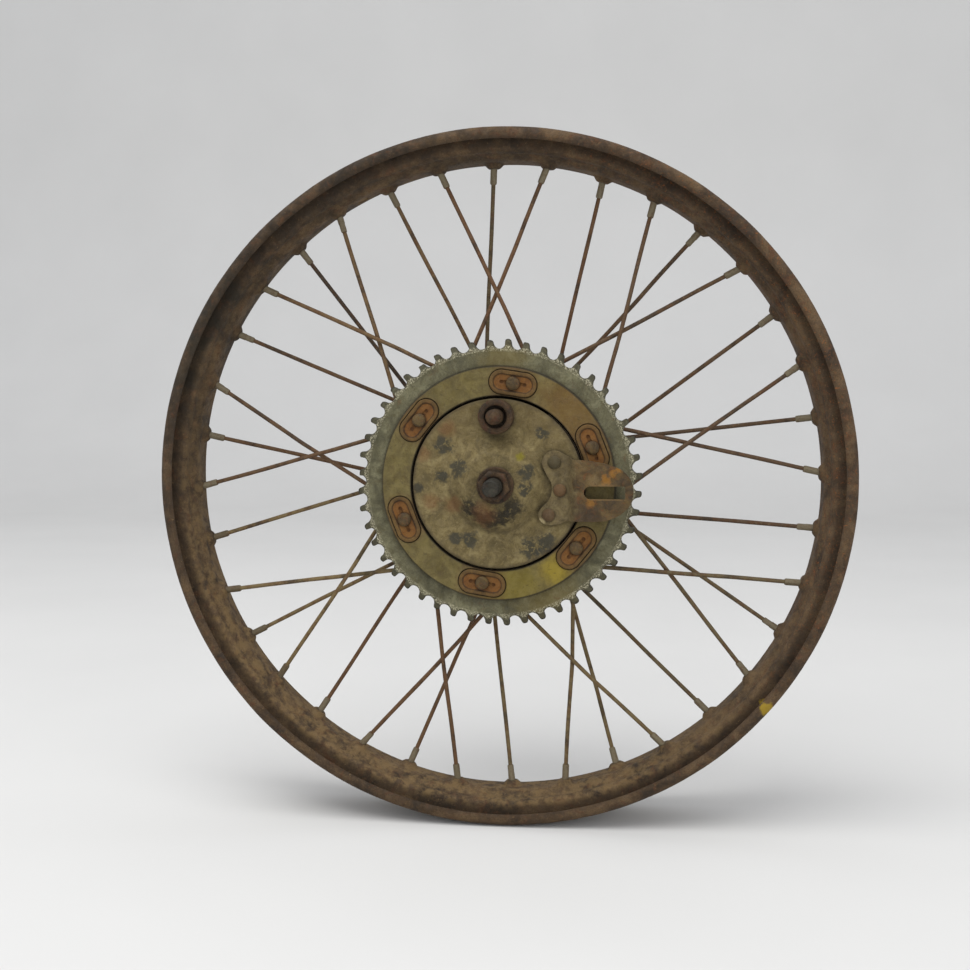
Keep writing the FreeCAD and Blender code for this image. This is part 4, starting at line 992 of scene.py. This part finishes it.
def make_sprocket():
    outline = sprocket_outline()
    count = len(outline)
    bore = 64.05
    root = 92.3
    rings = []
    for r in (bore, bore + 0.4, 70.0, 78.0, 82.0, 86.0, 89.0, 90.6):
        rings.append([(r, angle, 0.0, 0.0) for angle, _radius in outline])
    for blend, drop, edge in ((0.0, 0.0, 0.0), (0.25, 0.1, 0.3), (0.5, 0.25, 0.55), (0.75, 0.45, 0.8),
                              (0.92, 0.7, 0.95), (1.0, 1.15, 1.0)):
        ring = []
        for angle, radius in outline:
            inner = min(root, radius - 1.6)
            r = inner + (radius - inner) * blend
            lift = max(0.0, (r - root) / 7.0)
            ring.append((r, angle, drop * 0.8 + 1.1 * lift ** 1.5, max(edge, 1.0 if blend == 1.0 else edge)))
        rings.append(ring)
    verts = []
    edges = []
    for side in (0, 1):
        for ring in rings if side == 0 else reversed(rings):
            for r, angle, drop, edge in ring:
                d = SPROCKET_D[1] - drop if side == 0 else SPROCKET_D[0] + drop
                verts.append(rough(rough(around(r, angle, d), 9.0, 0.1, 3.0), 2.0, 0.06, 4.0))
                edges.append(edge)
    faces = grid_faces(2 * len(rings), count, wrap_rows=True)
    sprocket = new_object("sprocket_wheel", verts, faces, 38.0)
    worn = sprocket.data.attributes.new("worn_edge", "FLOAT", "POINT")
    worn.data.foreach_set("value", edges)
    return sprocket


def bar_distance(x, z, length, width):
    """Signed distance from a round-ended bar lying along z, negative inside."""
    half = (length - width) / 2
    return math.hypot(x, z - min(half, max(-half, z))) - width / 2


def local_to_bolt(r, angle, k):
    """Place relative to bolt k, with z along the ring and x outwards."""
    turn = math.radians(angle - BOLT_PHASE - 60 * k)
    return r * math.cos(turn) - BOLT_CIRCLE, r * math.sin(turn)


def make_clamp_ring():
    steps = 1440
    front = RING_D[1]
    edge = [(RING_INNER, RING_D[0]), (RING_INNER, front - 0.5), (RING_INNER + 0.15, front - 0.15)]
    face = [(RING_INNER + 0.5 + (RING_OUTER - RING_INNER - 1.1) * k / 34, front) for k in range(35)]
    back = [(RING_OUTER - 0.15, front - 0.2), (RING_OUTER, front - 0.6), (RING_OUTER, RING_D[0])]
    verts = []
    for r, d in edge + face + back:
        for k in range(steps):
            angle = 360.0 * k / steps
            drop = 0.0
            if d > front - 0.3:
                nearest = round((angle - BOLT_PHASE) / 60.0)
                x, z = local_to_bolt(r, angle, nearest)
                away = bar_distance(x, z, 33.5, 17.2)
                drop = 1.0 * smoothstep(0.35, -0.35, away)
                drop -= 0.12 * smoothstep(1.6, 0.5, away) * smoothstep(-0.2, 0.5, away)
            p = around(r, angle, d - drop)
            verts.append(rough(rough(p, 14.0, 0.08, 5.0), 2.5, 0.035, 6.0))
    rows = len(edge) + len(face) + len(back)
    faces = grid_faces(rows, steps, wrap_rows=True)
    return new_object("clamp_ring_plate", verts, faces, 45.0)


def bar_ring(inset, count, length, width):
    """Points round a round-ended bar, drawn inset millimetres inside its edge."""
    half = (length - width) / 2
    radius = max(width / 2 - inset, 0.02)
    points = []
    quarter = count // 2
    for end, start in ((half, 0.0), (-half, 180.0)):
        for k in range(quarter):
            a = math.radians(start + 180.0 * k / (quarter - 1))
            points.append((radius * math.cos(a), end + radius * math.sin(a)))
    return points


LOCK_CORNERS = 120
LOCK_BORDER = (1.0, 1.0, 1.0, 1.0, 1.0, 1.0, 0.75, 0.4, 0.15)


def one_lock_plate(index, dice):
    base = LOCK_D[0]
    top = LOCK_D[1] - 0.06
    pan = top - 0.9
    count = LOCK_CORNERS
    levels = [(0.0, base), (0.0, top - 0.7), (0.12, top - 0.3), (0.4, top - 0.05), (0.9, top), (1.7, top - 0.02),
              (2.4, top - 0.12), (2.9, top - 0.45), (3.3, pan + 0.15), (3.7, pan)]
    levels += [(4.2 + 0.45 * k, pan) for k in range(9)] + [(8.28, pan)]
    tilt = dice.uniform(-0.006, 0.006)
    verts = []
    for inset, d in levels:
        for x, z in bar_ring(inset, count, 32.8, 16.6):
            d_here = d
            if d > base + 1.0:
                for hole in (-8.0, 8.0):
                    d_here -= 0.95 * smoothstep(1.45, 0.75, math.hypot(x, z - hole))
            a = math.radians(BOLT_PHASE + 60 * index)
            r = BOLT_CIRCLE + x
            p = point(r * math.cos(a) - z * math.sin(a), d_here + tilt * z, r * math.sin(a) + z * math.cos(a))
            verts.append(rough(p, 2.2, 0.07, index))
    faces = grid_faces(len(levels), count)
    faces.append(tuple(range(count)))
    last = (len(levels) - 1) * count
    for k in range(count // 2 - 1):
        faces.append((last + k, last + k + 1, last + count - 2 - k, last + count - 1 - k))
    return verts, faces


def one_sprocket_bolt(index, dice):
    base = LOCK_D[0] + 2.0 - 0.9
    steps = 40
    a = math.radians(BOLT_PHASE + 60 * index)
    cx = BOLT_CIRCLE * math.cos(a)
    cz = BOLT_CIRCLE * math.sin(a)
    top = BOLT_D[1]
    profile = [(2.9, BOLT_D[0]), (2.95, BOLT_D[0] + 0.4), (2.95, base), (4.4, base + 0.02), (4.68, base + 0.3),
               (4.62, base + 1.2), (4.3, base + 1.75), (3.8, top - 0.45), (2.9, top - 0.15), (1.5, top - 0.02)]
    lumps = [dice.uniform(-0.1, 0.1) for _ in range(4)]
    verts = []
    for r, d in profile:
        for k in range(steps):
            b = 2 * math.pi * k / steps
            scale = 1.0
            if r > 3.0:
                scale += 0.025 * math.cos(2 * b + lumps[0] * 30) + 0.02 * math.cos(3 * b + lumps[1] * 30)
                scale = min(scale, 4.68 / r)
            p = point(cx + r * scale * math.cos(b), d, cz + r * scale * math.sin(b))
            verts.append(rough(p, 1.6, 0.07 if r > 3.0 else 0.0, index))
    faces = grid_faces(len(profile), steps)
    faces.append(tuple(range(steps)))
    faces.append(tuple(range(len(verts) - steps, len(verts))))
    return verts, faces


def mark_borders(locks):
    """Mark the raised border of every lock plate, so that it can be coloured apart from the pan."""
    border = locks.data.attributes.new("border", "FLOAT", "POINT")
    corners = len(locks.data.vertices) // 6
    for index in range(len(locks.data.vertices)):
        level = index % corners // LOCK_CORNERS
        border.data[index].value = LOCK_BORDER[level] if level < len(LOCK_BORDER) else 0.0


def ring_of(name, maker, seed):
    dice = random.Random(seed)
    verts = []
    faces = []
    for index in range(6):
        some_verts, some_faces = maker(index, dice)
        offset = len(verts)
        verts += some_verts
        faces += [tuple(v + offset for v in face) for face in some_faces]
    return new_object(name, verts, faces, 40.0)


# ---------------------------------------------------------------- brake plate and what it carries


def plate_station(r):
    """Front face of the pressed brake plate at radius r."""
    if r >= 34.0:
        return PLATE_FRONT
    if r <= 21.0:
        return DOME_FRONT
    t = (34.0 - r) / 13.0
    return PLATE_FRONT + (DOME_FRONT - PLATE_FRONT) * (0.55 * t + 0.45 * t * t * (3 - 2 * t))


def make_brake_plate():
    sheet = 3.0
    front = [(6.06, DOME_FRONT - 0.05)] + [(r, plate_station(r)) for r in
                                            [7.0, 10.0, 13.0, 16.0, 18.5, 20.2] + [21 + 0.72 * k for k in range(19)]]
    front += [(35.5 + 2.1 * k, PLATE_FRONT) for k in range(11)]
    rim_edge = [(57.7, PLATE_FRONT - 0.05), (58.3, PLATE_FRONT - 0.3), (PLATE_RADIUS, PLATE_FRONT - 0.8),
                (PLATE_RADIUS, PLATE_BACK + 0.3), (58.3, PLATE_BACK)]
    back = [(r, d - sheet) for r, d in reversed(front) if r < 57.0]
    profile = front + rim_edge + back
    steps = 240
    verts = []
    for r, d in profile:
        for k in range(steps):
            p = around(r, 360.0 * k / steps, d)
            hammered = 0.28 * noise.noise(p / (13 * MM)) + 0.12 * noise.noise(p / (5 * MM))
            if 8.0 < r < 56.5:
                p.y -= hammered * MM
            verts.append(p)
    faces = grid_faces(len(profile), steps, wrap_rows=True)
    return new_object("brake_plate_pressing", verts, faces, 50.0)


def make_cam_boss():
    front = CAM_BOSS_FRONT
    profile = [(5.5, PLATE_BACK), (8.9, PLATE_BACK), (8.9, PLATE_FRONT + 0.05), (CAM_BOSS_RADIUS, PLATE_FRONT + 0.05),
               (CAM_BOSS_RADIUS, front - 1.0), (CAM_BOSS_RADIUS - 0.3, front - 0.35), (CAM_BOSS_RADIUS - 1.1, front),
               (8.5, front - 0.05), (7.9, front - 0.4), (7.7, front - 1.0), (7.7, front - 6.0), (5.5, front - 6.0)]
    return lathe("cam_boss_tube", profile, 80, (CAM_X, CAM_Z), closed=True, wear=0.07)


def make_axle_thread(d0, d1, radius, sign):
    """Threaded end with a rounded, slightly dished tip."""
    pitch = 1.25
    steps = 48
    rows = []
    count = int(abs(d1 - d0) / 0.156)
    for k in range(count + 1):
        rows.append((1.0, d0 + (d1 - d0) * k / count))
    verts = []
    length = abs(d1 - d0)
    for _one, d in rows:
        for k in range(steps):
            a = 2 * math.pi * k / steps
            phase = (d / pitch + sign * k / steps) % 1.0
            wave = abs(2 * phase - 1)
            cut = 0.55 * smoothstep(0.15, 0.85, wave)
            near_tip = abs(d1 - d)
            lead = smoothstep(0.0, 1.4, near_tip)
            r = radius - cut * 0.85 - (1 - lead) * 0.7
            verts.append(rough(point(r * math.cos(a), d, r * math.sin(a)), 1.6, 0.05, 8.0))
    for r, d in ((radius - 1.3, d1), (radius - 3.5, d1 - sign * 0.12), (0.4, d1 - sign * 0.3)):
        for k in range(steps):
            a = 2 * math.pi * k / steps
            verts.append(rough(point(r * math.cos(a), d, r * math.sin(a)), 2.0, 0.08, 9.0))
    faces = grid_faces(count + 4, steps)
    faces.append(tuple(range(len(verts) - steps, len(verts))))
    faces.append(tuple(range(steps)))
    return new_object("axle_thread", verts, faces, 60.0)


def hex_scale(flats, chamfer, d0, d1, turn):
    def scale(a, d):
        corner = (math.degrees(a) + turn) % 60.0 - 30.0
        flat = flats / 2 / math.cos(math.radians(corner))
        limit = flats / 2 - 0.15 + min(abs(d - d0), abs(d1 - d)) * 1.75
        return min(flat, limit) / (flats / 2)
    return scale


def make_nut(name, d0, d1, flats, turn):
    """Hexagon nut with chamfered corners."""
    sign = 1 if d1 > d0 else -1
    lift = [0.0, 0.25, 0.5, 0.8, 1.1, 1.5]
    height = abs(d1 - d0)
    stations_up = lift + [height / 2] + [height - x for x in reversed(lift)]
    profile = [(6.1, d0), (7.4, d0)]
    profile += [(flats / 2, d0 + sign * x) for x in stations_up]
    profile += [(7.6, d1), (6.7, d1 - sign * 0.35), (6.1, d1 - sign * 0.8)]
    scale = hex_scale(flats, 1.0, d0, d1, turn)

    def only_outside(a, d):
        return scale(a, d)

    verts = []
    steps = 180
    for r, d in profile:
        for k in range(steps):
            a = 2 * math.pi * k / steps
            s = only_outside(a, d) if r > 9.0 else 1.0
            verts.append(rough(point(r * s * math.cos(a), d, r * s * math.sin(a)), 2.0, 0.06, 11.0))
    faces = grid_faces(len(profile), steps, wrap_rows=True)
    return new_object(name, verts, faces, 32.0)


def make_washer(name, d0, d1, radius):
    profile = [(6.2, d0), (radius - 0.5, d0), (radius, d0 + 0.4), (radius, d1 - 0.4), (radius - 0.5, d1), (6.2, d1)]
    return lathe(name, profile, 120, closed=True, wear=0.08)


def curve_through(points, pieces):
    """Smooth open curve through the points, each stretch between two of them cut in pieces."""
    curve = []
    for k in range(len(points) - 1):
        a, b, c, d = points[max(k - 1, 0)], points[k], points[k + 1], points[min(k + 2, len(points) - 1)]
        for step in range(pieces):
            t = step / pieces
            curve.append(tuple(0.5 * (2 * b[i] + (c[i] - a[i]) * t
                                      + (2 * a[i] - 5 * b[i] + 4 * c[i] - d[i]) * t * t
                                      + (3 * b[i] - a[i] - 3 * c[i] + d[i]) * t ** 3) for i in (0, 1)))
    return curve


def arm_outline():
    """Points round the torque arm in (x, z), tab first and then the lobes on the plate."""
    tab = [(52.0, 17.2), (60.0, 16.8), (69.0, 15.5), (77.0, 13.6), (84.0, 10.8), (89.0, 6.8), (92.0, 1.4),
           (92.8, -5.0), (91.6, -11.2), (87.8, -16.8), (81.9, -21.0), (74.8, -23.8), (66.0, -24.6),
           (52.0, -24.5)]
    lower = [(47.0, -25.2), (42.5, -27.0), (35.5, -27.7), (30.4, -25.5), (28.5, -20.5), (30.6, -15.9)]
    waist = [(34.8, -11.6), (37.5, -6.0), (37.5, 0.5), (34.8, 5.6)]
    upper = [(31.9, 11.5), (31.2, 15.2), (33.4, 20.8), (39.4, 23.4), (46.4, 20.6), (52.0, 17.2)]
    return curve_through(tab + lower + waist + upper, 3)


def slot_outline():
    half = 4.4
    inner = 59.7
    outer = 87.4
    points = arc((inner + half, -5.0), half, 90, 270, 12)
    for z in (-5.0 - half, -5.0 + half):
        corner = [(outer - 0.6, z), (outer, z + math.copysign(0.6, -5.0 - z)), (outer, -5.0)]
        along = line((72.0, z), (80.0, z), 2) + corner
        points += along if z < -5.0 else list(reversed(along[:-1]))
    return points


def arm_station(x):
    """Back face of the arm: on the brake plate, then stepped up towards the tab."""
    base = PLATE_FRONT + 0.02
    return base + (ARM_FRONT - ARM_SHEET - base) * smoothstep(47.6, 54.6, x)


def make_torque_arm():
    work = bmesh.new()
    edges = []
    for loop in (arm_outline(), slot_outline()):
        corners = [work.verts.new((x * MM, 0.0, z * MM)) for x, z in loop]
        for a, b in zip(corners, corners[1:] + corners[:1]):
            edges.append(work.edges.new((a, b)))
    bmesh.ops.triangle_fill(work, use_beauty=True, edges=edges)
    for k in range(14):
        x = (46.8 + 0.62 * k) * MM
        bmesh.ops.bisect_plane(work, geom=work.verts[:] + work.edges[:] + work.faces[:],
                               plane_co=(x, 0, 0), plane_no=(1, 0, 0), dist=1e-7)
    for k in range(1, 9):
        z = (-27.0 + 5.5 * k) * MM
        bmesh.ops.bisect_plane(work, geom=work.verts[:] + work.edges[:] + work.faces[:],
                               plane_co=(0, 0, z), plane_no=(0, 0, 1), dist=1e-7)
    side = bmesh.ops.extrude_face_region(work, geom=work.faces[:])
    raised = {v for v in side["geom"] if isinstance(v, bmesh.types.BMVert)}
    for v in work.verts:
        station = arm_station(v.co.x / MM)
        v.co.y = -(station + (ARM_SHEET if v in raised else 0.0)) * MM
    bmesh.ops.recalc_face_normals(work, faces=work.faces)
    mesh = bpy.data.meshes.new("torque_arm_plate")
    work.to_mesh(mesh)
    work.free()
    mesh.shade_smooth()
    mesh.set_sharp_from_angle(angle=math.radians(35))
    arm = bpy.data.objects.new("torque_arm_plate", mesh)
    bpy.context.scene.collection.objects.link(arm)
    add_bevel(arm, 0.5, 3, 50.0)
    return arm


def make_arm_rivets():
    pieces = []
    low, high = stations("arm_rivets")
    front = PLATE_FRONT + ARM_SHEET + 0.02
    for x, z in ARM_RIVETS:
        profile = [(0.0, high), (1.6, high - 0.12), (3.0, high - 0.55), (4.0, high - 1.3), (4.5, front + 0.5),
                   (4.6, front + 0.02), (2.95, front + 0.01), (2.95, PLATE_BACK), (4.4, PLATE_BACK),
                   (4.2, low + 0.4), (3.4, low + 0.05), (0.0, low)]
        pieces.append(lathe("rivet", profile, 48, (x, z), wear=0.08))
    return joined("arm_rivet_set", pieces)


def make_cam_spindle():
    """Round end that takes the lever, with the journal and the flat cam behind it."""
    low = stations("cam_spindle")[0]
    profile = [(0.0, CAM_FRONT), (1.8, CAM_FRONT - 0.1), (3.4, CAM_FRONT - 0.6), (4.7, CAM_FRONT - 1.5),
               (5.2, CAM_FRONT - 2.4), (5.2, CAM_FRONT - 8.0), (5.2, CAM_BOSS_FRONT), (5.4, CAM_BOSS_FRONT - 0.3),
               (5.4, 34.0), (5.4, 33.0), (0.0, 33.0)]
    shaft = lathe("cam_shaft", profile, 64, (CAM_X, CAM_Z), wear=0.05)
    work = bmesh.new()
    bmesh.ops.create_cube(work, size=1.0)
    for v in work.verts:
        v.co.x = (CAM_X + v.co.x * 9.0) * MM
        v.co.z = (CAM_Z + v.co.z * 12.0) * MM
        v.co.y = -(low if v.co.y > 0 else 33.4) * MM
    mesh = bpy.data.meshes.new("cam_block")
    work.to_mesh(mesh)
    work.free()
    block = bpy.data.objects.new("cam_block", mesh)
    bpy.context.scene.collection.objects.link(block)
    return joined("cam_shaft_and_block", [shaft, block])


# ---------------------------------------------------------------- setting


def plain(name, colour, roughness):
    s = Shader(name)
    tone = s.noise(260.0, 3, 0.5)
    shade = s.ramp(tone, [(0.3, tuple(c * 0.97 for c in colour)), (0.7, colour)])
    return s.finish(shade, roughness, 0.0, s.bump(s.noise(90.0, 3, 0.5), 1.2, 0.25), 0.2)


def make_floor():
    """Pale floor that curves up into a backdrop well behind the wheel."""
    depth = [(-4.0, 0.0), (0.0, 0.0), (2.2, 0.0)]
    depth += [(2.2 + 1.2 * math.sin(math.radians(a)), 1.2 - 1.2 * math.cos(math.radians(a))) for a in range(6, 91, 6)]
    depth += [(3.4, 4.5)]
    floor_z = -RIM_RADIUS * MM - 0.0005
    verts = []
    for y, z in depth:
        for x in (-5.0, 5.0):
            verts.append((x, y, floor_z + z))
    faces = [(2 * k, 2 * k + 1, 2 * k + 3, 2 * k + 2) for k in range(len(depth) - 1)]
    floor = new_object("studio_floor", verts, faces, 60.0)
    floor.data.materials.append(plain("studio_grey", rgb(214, 213, 210), 0.9))
    return floor


def area_light(name, place, aim, size, power, colour=(1.0, 1.0, 1.0)):
    light = bpy.data.lights.new(name, "AREA")
    light.shape = "RECTANGLE"
    light.size, light.size_y = size
    light.energy = power
    light.color = colour
    obj = bpy.data.objects.new(name, light)
    obj.location = place
    obj.rotation_euler = (Vector(aim) - Vector(place)).to_track_quat("-Z", "Y").to_euler()
    bpy.context.scene.collection.objects.link(obj)
    return obj


def make_camera():
    """Eye a little to the right of the axle and a little above it, close to the wheel."""
    camera = bpy.data.cameras.new("view")
    camera.sensor_width = 36.0
    camera.lens = 46.39
    obj = bpy.data.objects.new("view", camera)
    right = Vector((0.993, 0.118, -0.0044)).normalized()
    back = Vector((0.118, -0.9902, 0.075)).normalized()
    up = back.cross(right).normalized()
    right = up.cross(back)
    turn = Matrix((right, up, back)).transposed().to_4x4()
    obj.matrix_world = Matrix.Translation((0.0929, -0.889, 0.0637)) @ turn
    bpy.context.scene.collection.objects.link(obj)
    bpy.context.scene.camera = obj
    return obj


def make_world(strength):
    world = bpy.data.worlds.new("soft_light")
    world.use_nodes = True
    background = world.node_tree.nodes["Background"]
    background.inputs["Color"].default_value = (0.93, 0.95, 1.0, 1.0)
    background.inputs["Strength"].default_value = strength
    bpy.context.scene.world = world


# ---------------------------------------------------------------- assembly


def dress_cad(material, *nodes):
    for node in nodes:
        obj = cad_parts[node]
        obj.data.materials.clear()
        obj.data.materials.append(material)
        for polygon in obj.data.polygons:
            polygon.material_index = 0


def main():
    rust = rim_material()
    put(make_rim(), "wheel", rust, "rim")

    spoke_rust = spoke_material()
    nipple_steel = nipple_material()
    for number, family in enumerate(FAMILIES):
        put(repeated("wires_" + family, one_spoke, family, 100 + number), "wheel", spoke_rust, "spokes_" + family)
        put(repeated("sleeves_" + family, one_nipple, family, 200 + number), "wheel", nipple_steel,
            "nipples_" + family)

    hub_steel = hub_material()
    dress_cad(hub_steel, "hub_shell", "dust_cover_left", "dust_cover_right", "distance_tube",
              "spacer_left", "spacer_right")
    put(make_sprocket(), "wheel", sprocket_material(), "sprocket")
    put(make_clamp_ring(), "wheel", ring_material(), "clamp_ring")
    lock_rust = lock_material()
    locks = ring_of("lock_plate_set", one_lock_plate, 41)
    mark_borders(locks)
    put(locks, "wheel", lock_rust, "lock_plates")
    put(ring_of("sprocket_bolt_set", one_sprocket_bolt, 42), "wheel", bolt_material(), "sprocket_bolts")

    plate = put(make_brake_plate(), "axle_set", plate_material(), "brake_plate")
    axle_rust = axle_material()
    dark = dark_end_material()
    put(make_cam_boss(), "axle_set", axle_rust, "cam_boss")
    put(make_cam_spindle(), "cam", axle_rust, "cam_spindle")
    arm_rust = arm_material()
    put(make_torque_arm(), "axle_set", arm_rust, "torque_arm")
    put(make_arm_rivets(), "axle_set", arm_rust, "arm_rivets")

    nut_left = stations("axle_nut_left")
    nut_right = stations("axle_nut_right")
    end_left = stations("axle")[1]
    end_right = stations("axle")[0]
    put(make_nut("left_nut", nut_left[0], nut_left[1], 19.0, 12.0), "axle_set", axle_rust, "axle_nut_left")
    put(make_nut("right_nut", nut_right[1], nut_right[0], 19.0, 30.0), "axle_set", axle_rust, "axle_nut_right")
    put(make_washer("left_washer", *stations("washer_left"), 12.6), "axle_set", axle_rust, "washer_left")
    put(make_washer("right_washer", *stations("washer_right"), 12.6), "axle_set", axle_rust, "washer_right")
    core = lathe("axle_core", [(0.0, 63.4), (5.99, 63.4), (5.99, -58.4), (0.0, -58.4)], 64)
    rod = joined("axle_rod", [core, make_axle_thread(63.0, end_left, 5.8, 1),
                              make_axle_thread(-58.0, end_right, 5.8, -1)])
    put(rod, "axle_set", dark, "axle")

    dress_cad(axle_rust, "anchor_pin", "spring_upper", "spring_lower")
    bearing = bearing_material()
    dress_cad(bearing, *[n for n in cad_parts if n.startswith("bearing_")])
    dress_cad(shoe_material(), "shoe_left", "shoe_right")
    dress_cad(lining_material(), "lining_left", "lining_right")
    dress_cad(rivet_material(), "lining_rivets_left", "lining_rivets_right")

    floor = make_floor()
    key = area_light("key", (-0.5, -0.9, 2.1), (0, 0, 0), (2.2, 1.6), 42.0)
    fill = area_light("fill", (1.6, -1.9, 0.5), (0, 0, 0), (1.8, 1.8), 16.0)
    make_camera()
    make_world(0.85)
    bpy.context.scene.view_settings.view_transform = "Standard"


main()
